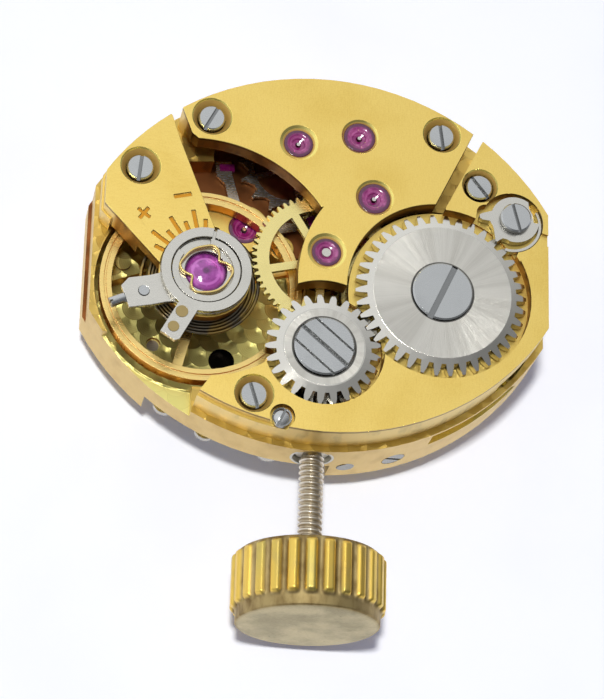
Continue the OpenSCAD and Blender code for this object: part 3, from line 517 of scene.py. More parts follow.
def ruby(name, colour, settings, glow):
    """Clear red-violet jewel in veils, with painted shade towards the rims and holes of the (x, y,
    radius) settings, a painted highlight ring in the oil cup and a painted glow.
    """
    f = Finish(name)
    veils = f.noise(3.5, detail=3)
    light, deep = tuple(min(1, c * 1.6 + 0.1) for c in colour), dim(colour, 0.3)
    tone = f.mix(colour, light, f.ramp(veils, 0.5, 0.72))
    tone = f.mix(tone, deep, f.ramp(veils, 0.48, 0.3) * 0.6)
    # Distance from the nearest jewel's centre, as a share of its radius
    share = 9.0
    for x, y, radius in settings:
        share = (f.distance(f.x, f.y, (x, y)) / radius).at_most(share)
    # Painted shade towards each jewel's rim and round its hole
    rings = f.ramp(share, 0.7, 0.86).at_least(1 - f.ramp(share, 0.08, 0.2))
    # Painted highlight: a lighter ring in the oil cup
    lip_highlight = f.band(share, 0.5, 0.54, 0.6, 0.64)
    tone = f.mix(f.mix(tone, deep, rings * 0.92), light, lip_highlight * 0.7)
    # The emission is a painted glow
    return f.surface(
        Base_Color=tone, Roughness=0.06 + veils * 0.06, IOR=1.76, Transmission_Weight=0.35,
        Coat_Weight=0.25, Coat_Roughness=0.04, Emission_Color=tone, Emission_Strength=glow,
        Normal=f.bump(veils, 1.0),
    )


def spring_steel(name, colour):
    """Tempered spring blade with straw tints."""
    f = Finish(name)
    heat = f.noise(1.2, detail=2)
    tone = f.mix(colour, srgb(196, 160, 70), f.ramp(heat, 0.45, 0.65) * 0.55)
    return f.metal(tone, 0.28 + heat * 0.1, f.noise(25), 0.5)


def crown_gold(colours):
    """Gold plate on the crown, rubbed through on its end, with dirt and painted shade between the
    ridges.
    """
    f = Finish("crown_gold")
    radius, end_y = (high("crown").x - low("crown").x) / 2, low("crown").y
    reach = f.distance(f.x, f.z - STEM_Z)
    ridge = f.ramp(reach, radius - 0.14, radius - 0.04)
    end = f.ramp(f.y, end_y + 0.06, end_y + 0.02)
    dirt = f.noise(2.6, stretch=(1, 0.5, 1), detail=5)
    warm = f.noise(0.9, stretch=(1, 0.25, 1), detail=2)
    bright = f.mix(colours.crown_ridge, srgb(214, 192, 104), f.ramp(warm, 0.45, 0.65))
    worn = f.mix(bright, colours.crown_dirt_and_shade, f.ramp(dirt, 0.5, 0.78) * 0.4)
    # Between the ridges the colour is dirt and painted shade
    valley = f.mix(colours.crown_dirt_and_shade, srgb(128, 104, 62), f.ramp(dirt, 0.35, 0.8))
    brushed = f.noise(9, stretch=(1, 1, 5), detail=3)
    pits = f.ramp(f.noise(5.5, detail=6), 0.66, 0.72)
    blotches = f.ramp(f.noise(0.8, detail=4), 0.38, 0.66)
    tarnish = f.ramp(brushed, 0.4, 0.7) * 0.25 + pits * 0.35 + blotches * 0.5
    face = f.mix(colours.crown_end, srgb(140, 130, 100), tarnish)
    rough = 0.27 + (1 - ridge) * 0.2 + dirt * 0.14 + end * 0.02
    tone = f.mix(f.mix(valley, worn, ridge), face, end)
    return f.metal(tone, rough, dirt * 1.2 + brushed * 0.4, 3.0)


def stem_steel(colour):
    """Nickel steel of the stem with brown in the thread's roots."""
    f = Finish("stem_steel")
    reach = f.distance(f.x, f.z - STEM_Z)
    threaded = f.y < -6.5
    root = (1 - f.ramp(reach, 0.35, 0.395)) * threaded
    dirt = f.noise(4, detail=4)
    tone = f.mix(colour, srgb(182, 166, 136), root * 0.75 + f.ramp(dirt, 0.5, 0.8) * 0.25)
    return f.metal(tone, 0.24 + root * 0.15 + dirt * 0.1, dirt, 1.5)


FINISHES = {}


def make_finishes():
    """Every finish, by the name that the pieces use."""
    colours = bpy.context.scene.movement_colours
    gilt = colours.bridge, colours.bridge_wall_shade, colours.bridge_side
    cock_top, cock_strokes = high("balance_cock").z, srgb(224, 156, 52)
    # Radii of the brushed discs inside the winding wheels' teeth
    ratchet_disc, crown_disc = 2.33, 1.34
    cap_setting = (BALANCE.x, BALANCE.y, 0.78)
    FINISHES.update({
        "plate": plate_gilt(colours),
        "bridge": satin_gilt("bridge_gilt", *gilt, BRIDGE_TOP),
        "cock": satin_gilt("cock_gilt", *gilt, cock_top, (1.5, 7, 5), cock_strokes),
        "steel": polished("polished_steel", colours.steel, depth=0.04),
        "screw": polished(
            "screw_steel", colours.screw, rough=0.18, grain=9, wear=0.4, wall_shade=0.45, depth=0.08
        ),
        "ratchet": sunray_steel("ratchet_steel", colours.steel, RATCHET, ratchet_disc),
        "crown_wheel": sunray_steel("crown_wheel_steel", colours.steel, CROWN_WHEEL, crown_disc),
        "wheel": polished("wheel_gilt", colours.wheel, rough=0.22, wall_shade=0.75),
        # The balance rim's orange sides are painted shade
        "balance": polished(
            "balance_gilt", colours.balance, rough=0.24, grain=2.0, wear=0.0, depth=0.02,
            shaded_walls=srgb(236, 160, 66),
        ),
        "dark_brass": polished("spring_brass", srgb(250, 220, 140), rough=0.2),
        # Both jewel finishes get a painted glow of the given strength
        "ruby": ruby("jewel_ruby", colours.ruby, (*TRAIN_JEWELS, PALLET_JEWEL), glow=0.06),
        "curb": polished("curb_brass", srgb(176, 154, 104), rough=0.3),
        "cap_ruby": ruby("cap_jewel_ruby", colours.cap_ruby, (cap_setting,), glow=0.16),
        "spring": spring_steel("hairspring_blade", srgb(112, 104, 88)),
        "crown": crown_gold(colours),
        "stem": stem_steel(srgb(222, 214, 198)),
    })


def link(name, data):
    made = bpy.data.objects.new(name, data)
    bpy.context.scene.collection.objects.link(made)
    return made


def linked(name, bm):
    """An object with the shape that was built in bmesh."""
    mesh = bpy.data.meshes.new(name)
    bm.to_mesh(mesh)
    bm.free()
    return link(name, mesh)


def mesh_of(made):
    """The object's evaluated mesh, and the object is removed."""
    graph = bpy.context.evaluated_depsgraph_get()
    mesh = bpy.data.meshes.new_from_object(
        made.evaluated_get(graph), preserve_all_data_layers=True, depsgraph=graph
    )
    bpy.data.objects.remove(made)
    return mesh


def settle(made, finish, body, stands_for=(), matrix=Matrix.Identity(4)):
    """A piece made in millimetres becomes a plain mesh in metres that rides on its body."""
    name = made.name
    mesh = mesh_of(made)
    mesh.transform(Matrix.Scale(MM, 4) @ matrix)
    mesh.name = name
    mesh.materials.clear()
    mesh.materials.append(FINISHES[finish])
    piece = link(name, mesh)
    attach(piece, body)
    if stands_for:
        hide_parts(*stands_for)
    return piece


def soften(made, width, angle=28, segments=2):
    """Bevels the edges that are sharper than the angle and keeps the flat faces flat."""
    made.data.shade_smooth()
    bevel = made.modifiers.new("edge", "BEVEL")
    bevel.width = width
    bevel.segments = segments
    bevel.limit_method = "ANGLE"
    bevel.angle_limit = math.radians(angle)
    bevel.miter_outer = "MITER_ARC"
    normals = made.modifiers.new("normals", "WEIGHTED_NORMAL")
    normals.mode = "FACE_AREA"
    normals.weight = 80
    return made


def is_corner(edge):
    """Whether an edge stands upright between two faces that turn by more than 0.2 radians."""
    flat_length = (edge.verts[0].co - edge.verts[1].co).xy.length
    return flat_length < 0.001 and edge.calc_face_angle(0) > 0.2


def copied(node, name, width, angle=28, segments=2, corner=0.0):
    """A softened copy of a node in millimetres, merged, with its corners rounded in plan."""
    bm = bmesh.new()
    bm.from_mesh(frame["nodes"][node].data)
    bmesh.ops.scale(bm, vec=(1 / MM,) * 3, verts=bm.verts)
    bmesh.ops.remove_doubles(bm, verts=bm.verts, dist=0.0005)
    bmesh.ops.dissolve_limit(bm, angle_limit=math.radians(1.5), verts=bm.verts, edges=bm.edges)
    if corner:
        corners = [edge for edge in bm.edges if is_corner(edge)]
        bmesh.ops.bevel(
            bm, geom=corners, offset=corner, segments=4, profile=0.5, affect="EDGES",
            clamp_overlap=True,
        )
    return soften(linked(name, bm), width, angle, segments)


def refined(node, name, width, finish, body, slot, **shape):
    """A softened copy that stands for its node."""
    return settle(copied(node, name, width, **shape), finish, body, [node])


def lathe(name, profile):
    """A turned shape from (radius, height) points, on the Z axis."""
    segments, tiny = 96, 1e-6
    bm = bmesh.new()
    rings = []
    for radius, height in profile:
        around = [polar(radius, i * 360 / segments).xy for i in range(segments)]
        spots = [(0, 0)] if radius < tiny else around
        rings.append([bm.verts.new((*spot, height)) for spot in spots])
    closed = rings if rings[0][0].co.xy.length < tiny else rings + rings[:1]
    for lower, upper in zip(closed, closed[1:]):
        for i in range(segments):
            k = (i + 1) % segments
            # A ring on the axis is one point, which is taken once
            corners = ((lower, i), (lower, k), (upper, k), (upper, i))
            face = list(dict.fromkeys(ring[n % len(ring)] for ring, n in corners))
            if len(face) > 2:
                bm.faces.new(face)
    bmesh.ops.recalc_face_normals(bm, faces=bm.faces)
    return linked(name, bm)


def placed(x, y, z, turn=0.0, scale=(1, 1, 1)):
    """Where a piece goes, and its turn about Z in degrees."""
    return Matrix.LocRotScale(Vector((x, y, z)), Euler((0, 0, math.radians(turn))), Vector(scale))


def carve(made, *cutters):
    """Cuts the solids away and removes them."""
    for cutter in cutters:
        boolean = made.modifiers.new("cut", "BOOLEAN")
        boolean.operation = "DIFFERENCE"
        boolean.solver = "EXACT"
        boolean.object = cutter
    mesh = mesh_of(made)
    for cutter in cutters:
        bpy.data.objects.remove(cutter)
    return link(mesh.name, mesh)


def slot_cutter(length, width, height, offset):
    bm = bmesh.new()
    bmesh.ops.create_cube(bm, size=1, matrix=placed(0, offset, 0, scale=(length, width, height)))
    return linked("slot", bm)


def screw(
    name, head, height, shaft, length, slot, depth=0.12, chamfer=0.05, slots=(0.0,), dome=0.0
):
    """A slotted screw whose head's top is at height 0, its slots along X."""
    edge = [(head, -height), (head, -chamfer), (head - chamfer, -dome)]
    top = [(head * k, -dome * k * k) for k in (0.6, 0.3)] if dome else []
    made = lathe(name, [(0, -length), (shaft, -length), (shaft, -height), *edge, *top, (0, 0)])
    # A slot beside the middle one is half as wide
    widths = [slot / 2 if offset else slot for offset in slots]
    cutters = [slot_cutter(2.4 * head, w, 2 * depth, at) for at, w in zip(slots, widths)]
    made = carve(made, *cutters)
    made.name = name
    # The slots' floors and walls are marked for painted shade
    marks = []
    for face in made.data.polygons:
        sunk = chamfer + 0.01 < -face.center.z <= depth + 0.01
        marks.append(float(sunk and face.center.xy.length < head * 0.97))
    made.data.attributes.new("recess", "FLOAT", "FACE").data.foreach_set("value", marks)
    return soften(made, 0.012, angle=35)


class Shape(Graph):
    """A geometry node tree with named inputs, the finish last."""

    def __init__(self, name, **inputs):
        super().__init__(bpy.data.node_groups.new(name, "GeometryNodeTree"))
        self.ids = {}
        self.socket("Geometry", "INPUT", "Geometry")
        for key, kind in {**inputs, "Finish": "Material"}.items():
            self.ids[key] = self.socket(key, "INPUT", kind).identifier
        self.socket("Geometry", "OUTPUT", "Geometry")
        group = self.tree.nodes.new("NodeGroupInput")
        self.geometry = Value(self, group.outputs[0])
        *self.inputs, self.finish_input = (Value(self, group.outputs[key]) for key in self.ids)

    def socket(self, name, side, kind):
        return self.tree.interface.new_socket(name, in_out=side, socket_type="NodeSocket" + kind)

    def finish(self, geometry):
        """Realizes instances, sets the material and closes the tree."""
        real = self.node("GeometryNodeRealizeInstances", None, geometry)
        settings = {"Geometry": real, "Material": self.finish_input}
        self.node("NodeGroupOutput", None, self.node("GeometryNodeSetMaterial", None, **settings))
        return self

    def on(self, made, **values):
        """Adds the tree to an object as a modifier and sets its inputs."""
        modifier = made.modifiers.new(self.tree.name, "NODES")
        modifier.node_group = self.tree
        for key, value in values.items():
            modifier[self.ids[key]] = value
        return made

    def attribute(self, name):
        return self.node("GeometryNodeInputNamedAttribute", {"data_type": "FLOAT"}, Name=name)

    def rod(self, around, rows, radius, length):
        """A closed cylinder's geometry, and the x, y and z of its points."""
        made = self.node(
            "GeometryNodeMeshCylinder", {"fill_type": "NGON"},
            Vertices=around, Side_Segments=rows, Radius=radius, Depth=length,
        )
        return made, *self.split(self.node("GeometryNodeInputPosition"))

    def moved(self, geometry, *place):
        position = self.join(*place)
        return self.node("GeometryNodeSetPosition", None, Geometry=geometry, Position=position)


def scatter_tree():
    """Puts one piece on every point, turned and sized by the point's attributes."""
    s = Shape("scatter", Piece="Object")
    piece = s.node("GeometryNodeObjectInfo", None, *s.inputs, out="Geometry")
    spin = s.node("FunctionNodeEulerToRotation", None, s.join(0.0, 0.0, s.attribute("turn")))
    wide = s.attribute("size")
    return s.finish(s.node(
        "GeometryNodeInstanceOnPoints", None,
        Points=s.geometry, Instance=piece, Rotation=spin, Scale=s.join(wide, wide, 1.0),
    ))


def ribbon_tree():
    """Gives a line a rectangular section."""
    s = Shape("ribbon", Thickness="Float", Height="Float")
    line = s.node("GeometryNodeMeshToCurve", None, s.geometry)
    section = s.node("GeometryNodeCurvePrimitiveQuadrilateral", None, *s.inputs)
    return s.finish(s.node(
        "GeometryNodeCurveToMesh", None, Curve=line, Profile_Curve=section, Fill_Caps=True
    ))


def thread_tree():
    """A rod with a helical thread, on the Z axis, from height 0 upwards."""
    s = Shape("thread", Radius="Float", Depth="Float", Pitch="Float", Length="Float")
    radius, depth, pitch, length = s.inputs
    rod, x, y, z = s.rod(48, (length / pitch * 10).math("ROUND"), radius, length)
    phase = (z / pitch + y.math("ARCTAN2", x) / TURN).math("FRACT")
    root = s.ramp(abs(phase - 0.5), 0.14, 0.36)
    inset = (radius - depth * root) / radius
    return s.finish(s.moved(rod, x * inset, y * inset, z + length / 2))


def crown_tree():
    """A ridged knob on the Z axis, its outer end up, with rounded ends that cut the ridges."""
    s = Shape("crown", Radius="Float", Length="Float", Ridges="Int", Depth="Float")
    radius, length, ridges, depth = s.inputs
    knob, x, y, z = s.rod(ridges * 12, 56, radius, length)
    top, bottom = length / 2, length / -2
    outer = s.ramp(z, top - 0.34, top, kind="LINEAR")
    inner = s.ramp(z, bottom + 0.2, bottom, kind="LINEAR")
    # Both ends are rounded by a quarter of an ellipse, and each drops by its own depth
    envelope = radius
    for end, drop in ((outer, 0.42), (inner, 0.22)):
        envelope = envelope - (1 - (1 - end * end).math("SQRT")) * drop
    phase = (y.math("ARCTAN2", x) / TURN * ridges + 0.5).math("FRACT")
    rise = 1 - s.ramp(abs(phase - 0.5), 0.16, 0.44)
    run = s.ramp(z, top - 0.38, top - 0.58) * s.ramp(z, bottom + 0.04, bottom + 0.2)
    inset = envelope.at_most(radius - depth + depth * rise * run) / radius
    return s.finish(s.moved(knob, x * inset, y * inset, z + top))


def points(name, rows):
    """Points for scatter from (x, y, z, turn in degrees, size) rows."""
    mesh = bpy.data.meshes.new(name)
    mesh.from_pydata([row[:3] for row in rows], [], [])
    turns, wides = [math.radians(row[3]) for row in rows], [row[4] for row in rows]
    for key, column in (("turn", turns), ("size", wides)):
        mesh.attributes.new(key, "FLOAT", "POINT").data.foreach_set("value", column)
    return link(name, mesh)


def line(name, places, closed=False):
    """A mesh of edges through the places."""
    mesh = bpy.data.meshes.new(name)
    last = len(places) - 1
    edges = [(i, i + 1) for i in range(last)] + ([(last, 0)] if closed else [])
    mesh.from_pydata([tuple(p) for p in places], edges, [])
    return link(name, mesh)


def scattered(name, rows, piece, finish, stands_for=()):
    """One piece repeated on rows of points, settled on the movement as one mesh."""
    made = scatter_tree().on(points(name, rows), Piece=piece, Finish=FINISHES[finish])
    settle(made, finish, "movement", stands_for)
    bpy.data.objects.remove(piece)


def ribbon(name, places, thickness, height, finish, body, stands_for=(), closed=False):
    """A band along the places, its height along Z."""
    made = ribbon_tree().on(
        line(name, places, closed), Thickness=height, Height=thickness, Finish=FINISHES[finish]
    )
    settle(made, finish, body, stands_for)


def dress(finish, *nodes):
    """Nodes that stay get their finish."""
    for node in nodes:
        mesh = frame["nodes"][node].data
        mesh.materials.clear()
        mesh.materials.append(FINISHES[finish])


def on_axis(axis, z):
    return Vector((axis.x, axis.y, z))


class MOVEMENT_OT_plate(bpy.types.Operator):
    """Main plate with softened edges and circular graining"""

    bl_idname = "movement.plate"
    bl_label = "Main plate"

    # Outer end of the pin in the side wall, and the direction that it faces, in degrees
    PIN_END, PIN_FACING = (1.24, -6.41, 0.81), -81.9

    def execute(self, context):
        edge = context.scene.movement_sizes.edge
        refined("main_plate", "plate", edge * 0.45, "plate", "movement", "gilt_plate")
        pin = lathe("wall_pin", [(0, -0.3), (0.3, -0.3), (0.3, 0.0), (0.27, 0.02), (0, 0.02)])
        lying = Matrix.Rotation(math.radians(90), 4, "Y")
        outwards = placed(*self.PIN_END, self.PIN_FACING) @ lying
        settle(pin, "screw", "movement", matrix=outwards)
        return {"FINISHED"}


class MOVEMENT_OT_bridges(bpy.types.Operator):
    """Barrel bridge, train bridge, balance cock and pallet cock"""

    bl_idname = "movement.bridges"
    bl_label = "Bridges"

    def execute(self, context):
        edge = context.scene.movement_sizes.edge
        for node, finish, width in (
            ("barrel_bridge", "bridge", edge),
            ("train_bridge", "bridge", edge),
            ("balance_cock", "cock", edge * 0.5),
            ("pallet_cock", "bridge", edge * 0.5),
        ):
            refined(node, node + "_gilt", width, finish, "movement", "gilt_bridge")
        return {"FINISHED"}


class MOVEMENT_OT_screws(bpy.types.Operator):
    """Slotted screws of the bridges, wheels and levers"""

    bl_idname = "movement.screws"
    bl_label = "Screws"

    # x, y and the turn of the slot, in degrees
    BRIDGE_SCREWS = (
        (-3.96, 4.5, 63), (-6.25, 2.46, 85), (3.81, 4.64, 98),
        (5.12, 2.89, -51), (-2.24, -5.18, -72),
    )
    BRIDGE_SCREW_TOP = 3.56
    PALLET_COCK_FEET = ((-4.05, 1.75), (-1.27, 0.72))
    # Node, body, axis, height of the top and turn of the slot. Then the head's radius and height,
    # the shaft's radius and length and the slot's width, and what else the screw has of its own
    SINGLE_SCREWS = (
        ("setting_lever_screw", "setting_lever", LEVER, 3.6, 67,
         (0.32, 0.23, 0.19, 3.08, 0.08), {"depth": 0.1, "dome": 0.07}),
        ("click_screw", "movement", CLICK, 3.8, 105,
         (0.52, 0.2, 0.21, 1.2, 0.11), {"depth": 0.1}),
        ("crown_wheel_screw", "movement", CROWN_WHEEL, 3.72, -40,
         (1.0, 0.25, 0.24, 1.07, 0.15), {"depth": 0.13, "slots": (-0.52, 0.0, 0.52)}),
        ("ratchet_screw", "ratchet", RATCHET, 3.78, 66,
         (1.01, 0.25, 0.19, 1.48, 0.2), {"depth": 0.15}),
    )

    def execute(self, context):
        head = screw("head", 0.45, 0.36, 0.22, 2.5, 0.12, depth=0.15)
        rows = [(x, y, self.BRIDGE_SCREW_TOP, turn, 1) for x, y, turn in self.BRIDGE_SCREWS]
        scattered("bridge_screw_heads", rows, head, "screw", ["bridge_screws"])
        for node, body, axis, top, turn, sizes, own in self.SINGLE_SCREWS:
            made = screw(node + "_head", *sizes, **own)
            settle(made, "screw", body, [node], placed(axis.x, axis.y, top, turn))
        small = screw("small_head", 0.3, 0.12, 0.14, 1.1, 0.08, depth=0.07, chamfer=0.03)
        top = high("pallet_cock_screws").z
        rows = [(x, y, top, 30, 1) for x, y in self.PALLET_COCK_FEET]
        scattered("pallet_cock_screw_heads", rows, small, "screw", ["pallet_cock_screws"])
        return {"FINISHED"}


class MOVEMENT_OT_jewels(bpy.types.Operator):
    """Pressed jewels with their oil cups, and the balance's cap jewels"""

    bl_idname = "movement.jewels"
    bl_label = "Jewels"

    # Profile of a jewel's top from its rim to its hole, for a radius of 1
    OIL_CUP = (
        (1.0, -0.03), (0.96, 0.0), (0.72, 0.0), (0.6, -0.03),
        (0.56, -0.07), (0.43, -0.08), (0.4, -0.12), (0.2, -0.14),
    )
    # Heights of the jewels' tops and of the upper cap jewel's edge
    TRAIN_TOP, PALLET_TOP, CAP_EDGE = 3.57, 1.94, 3.56
    # Radii of the cap jewels, of the upper one's polished top and of the ball that it is cut from
    CAP, CAP_TOP, CAP_BALL = 0.68, 0.66, 1.36

    def execute(self, context):
        rows = [(x, y, self.TRAIN_TOP, 0, radius) for x, y, radius in TRAIN_JEWELS]
        jewel = self.pierced("jewel", 0.45)
        scattered("train_jewel_rings", rows, jewel, "ruby", ["train_jewels"])
        x, y, radius = PALLET_JEWEL
        ring, rows = self.pierced("ring", 0.25), [(x, y, self.PALLET_TOP, 0, radius)]
        scattered("pallet_jewel_ring", rows, ring, "ruby", ["pallet_jewel"])
        rows = [(BALANCE.x, BALANCE.y, self.CAP_EDGE, 0, 1)]
        scattered("cap_jewel_upper", rows, self.domed(), "cap_ruby")
        flat = lathe("cap_jewel_lower", [
            (0, 0.58), (self.CAP, 0.58), (self.CAP, 0.74), (self.CAP_TOP, 0.76), (0, 0.76)
        ])
        below = placed(BALANCE.x, BALANCE.y, 0)
        settle(flat, "cap_ruby", "movement", ["cap_jewels"], below)
        dress("ruby", "plate_jewels", "pallet_stones", "roller_jewel")
        return {"FINISHED"}

    def pierced(self, name, thick):
        """A jewel with a hole, for a radius of 1."""
        return soften(lathe(name, [(0.2, -thick), (1.0, -thick), *self.OIL_CUP]), 0.01, angle=40)

    def domed(self):
        """The upper cap jewel."""
        def height(radius):
            return math.sqrt(self.CAP_BALL**2 - radius * radius)

        radii = [self.CAP_BALL * math.sin(math.radians(a)) for a in range(27, -1, -3)]
        top = [(radius, height(radius) - height(self.CAP_TOP)) for radius in radii]
        cap = lathe("cap", [(0, -0.1), (self.CAP, -0.1), (self.CAP, -0.01), *top])
        cap.data.shade_smooth()
        return cap


class MOVEMENT_OT_balance(bpy.types.Operator):
    """Balance wheel, staff, roller and hairspring"""

    bl_idname = "movement.balance"
    bl_label = "Balance"

    def execute(self, context):
        rim_edge = 0.03
        refined(
            "balance_wheel", "balance_rim", rim_edge, "balance", "balance", "balance_gold",
            segments=3,
        )
        dress("steel", "balance_staff", "roller")
        self.hairspring(context.scene.movement_sizes)
        return {"FINISHED"}

    def hairspring(self, sizes):
        """The inner coil, then one wider turn to the stud."""
        first, coil_end, outer = 0.46, 1.76, 2.02
        stud_bearing, blade_height, steps = 209.0, 0.12, 48
        total = sizes.spring_turns * steps
        places = []
        for i in range(total + 1):
            radius = first + (coil_end - first) * i / total
            places.append(polar(radius, stud_bearing - 360 * (total - i) / steps))
        for i in range(1, steps + 1):
            share = i / steps
            ease = share * share * (3 - 2 * share)
            places.append(polar(coil_end + (outer - coil_end) * ease, stud_bearing + 360 * share))
        centre = on_axis(BALANCE, middle("hairspring").z)
        ribbon(
            "hairspring_coil", [centre + p for p in places], sizes.spring_thick, blade_height,
            "spring", "stud_carrier", ["hairspring"],
        )


class MOVEMENT_OT_regulator(bpy.types.Operator):
    """Shock setting, regulator, stud carrier and lyre springs over the balance"""

    bl_idname = "movement.regulator"
    bl_label = "Regulator"

    def execute(self, context):
        fine = context.scene.movement_sizes.tooth_edge
        for node, name, width, body in (
            ("regulator_index", "regulator", fine * 3, "regulator"),
            ("stud_carrier", "carrier", fine * 2.4, "stud_carrier"),
            ("upper_setting", "shock_setting", fine * 1.4, "movement"),
        ):
            refined(node, name, width, "steel", body, "steel")
        dress("screw", "hairspring_stud", "stud_screw")
        dress("curb", "curb_pins")
        dress("steel", "lower_setting")
        wire_radius = 0.02
        self.lyre("lyre_upper", high("lyre_springs").z - wire_radius, 1.0, ["lyre_springs"])
        self.lyre("lyre_lower", low("lyre_springs").z + wire_radius, 0.78, [])
        return {"FINISHED"}

    def lyre(self, name, height, scale, nodes):
        """A closed spring whose two lobes press inwards on the cap jewel."""
        plain_radius, lobes, step = 0.8, (39, 211), 3
        # Depth and width of a lobe, and of the shoulder on each side of it, in mm and degrees
        lobe_deep, lobe_wide = 0.27, 17
        shoulder_rise, shoulder_at, shoulder_wide = 0.07, 38, 14
        places = []
        for bearing in range(0, 360, step):
            radius = plain_radius
            for lobe in lobes:
                off = abs((bearing - lobe + 180) % 360 - 180)
                dip = lobe_deep * math.exp(-((off / lobe_wide) ** 2))
                shoulder = shoulder_rise * math.exp(-(((off - shoulder_at) / shoulder_wide) ** 2))
                radius -= dip - shoulder
            places.append(on_axis(BALANCE, height) + polar(radius * scale, bearing))
        ribbon(name, places, 0.13, 0.07, "dark_brass", "movement", nodes, closed=True)


class MOVEMENT_OT_train(bpy.types.Operator):
    """Train wheels, escapement and barrel"""

    bl_idname = "movement.train"
    bl_label = "Train"

    def execute(self, context):
        sizes = context.scene.movement_sizes
        for body in ("centre", "third", "fourth"):
            node = body + "_wheel"
            refined(node, node + "_gilt", sizes.tooth_edge, "wheel", body, "wheel_gilt")
        dress("steel", "escape_wheel", "pallet_fork", "barrel_arbor")
        dress("steel", "escape_pinion", "fourth_pinion", "third_pinion", "centre_pinion")
        dress("wheel", "barrel_drum", "barrel_cover")
        self.mainspring(sizes.mainspring_turns)
        return {"FINISHED"}

    def mainspring(self, turns):
        """A coil that is closer at the arbor than at the barrel's wall."""
        inner, outer, thickness, steps = 1.05, 2.9, 0.07, 40
        total = turns * steps
        centre = on_axis(RATCHET, middle("mainspring").z)
        places = [
            centre + polar(inner + (outer - inner) * (i / total) ** 1.2, 360 * i / steps)
            for i in range(total + 1)
        ]
        ribbon(
            "mainspring_coil", places, thickness, high("mainspring").z - low("mainspring").z,
            "spring", "barrel", ["mainspring"],
        )


class MOVEMENT_OT_winding(bpy.types.Operator):
    """Ratchet wheel, crown wheel, click and the pinions on the stem"""

    bl_idname = "movement.winding"
    bl_label = "Winding wheels"

    # The teeth's sloped ends turn by less than a usual edge, in degrees
    TOOTH_ANGLE = 15

    def execute(self, context):
        fine = context.scene.movement_sizes.tooth_edge
        for node, name, body in (
            ("ratchet_wheel", "ratchet", "ratchet"),
            ("crown_wheel", "crown_wheel_steel", "crown_wheel"),
        ):
            refined(node, name, fine, body, body, "steel", angle=self.TOOTH_ANGLE)
        refined("click", "click_lever", fine * 1.6, "steel", "click", "steel", corner=0.04)
        dress("steel", "click_spring", "winding_pinion", "sliding_pinion")
        return {"FINISHED"}


class MOVEMENT_OT_stem(bpy.types.Operator):
    """Winding stem with its thread, and the ridged crown"""

    bl_idname = "movement.stem"
    bl_label = "Stem and crown"

    # Radius, and distance from the movement's middle
    STEM = (
        (0, 2.35), (0.16, 2.35), (0.2, 2.4), (0.2, 4.7), (0.32, 4.7), (0.32, 5.52), (0.3, 5.52),
        (0.3, 5.88), (0.57, 5.88), (0.6, 5.91), (0.6, 6.28), (0.54, 6.34), (0.33, 6.34),
        (0.33, 6.52), (0, 6.52),
    )
    THREAD_START, THREAD_TURNS = 6.5, 17
    RIDGE_DEPTH = 0.17

    def execute(self, context):
        sizes = context.scene.movement_sizes
        to_stem = Matrix.Translation((0, 0, STEM_Z)) @ Matrix.Rotation(math.radians(90), 4, "X")
        stem = soften(lathe("stem", self.STEM), 0.012, angle=40)
        settle(stem, "stem", "stem", ["winding_stem"], to_stem)
        thread = thread_tree().on(
            self.seed("stem_thread"), Radius=0.41, Depth=0.08, Pitch=sizes.thread_pitch,
            Length=self.THREAD_TURNS * sizes.thread_pitch, Finish=FINISHES["stem"],
        )
        at_thread = to_stem @ placed(0, 0, self.THREAD_START)
        settle(thread, "stem", "stem", matrix=at_thread).data.shade_smooth()
        box_low, box_high = low("crown"), high("crown")
        crown = crown_tree().on(
            self.seed("crown_knob"), Radius=(box_high.x - box_low.x) / 2,
            Length=box_high.y - box_low.y, Ridges=sizes.crown_flutes, Depth=self.RIDGE_DEPTH,
            Finish=FINISHES["crown"],
        )
        at_crown = to_stem @ placed(0, 0, -box_high.y)
        knob = settle(crown, "crown", "stem", ["crown"], at_crown).data
        knob.shade_smooth()
        knob.set_sharp_from_angle(angle=math.radians(50))
        return {"FINISHED"}

    def seed(self, name):
        """An object whose own shape the node tree doesn't use."""
        return line(name, [(0, 0, 0), (0, 0, 1)])


class MOVEMENT_OT_dial_side(bpy.types.Operator):
    """Motion work, keyless work and dial-foot screws"""

    bl_idname = "movement.dial_side"
    bl_label = "Dial side"

    def execute(self, context):
        dress("steel", "cannon_pinion", "setting_lever", "yoke", "keyless_cover")
        dress("screw", "dial_foot_screws", "keyless_screws")
        dress("wheel", "minute_wheel", "hour_wheel", "setting_wheel")
        return {"FINISHED"}


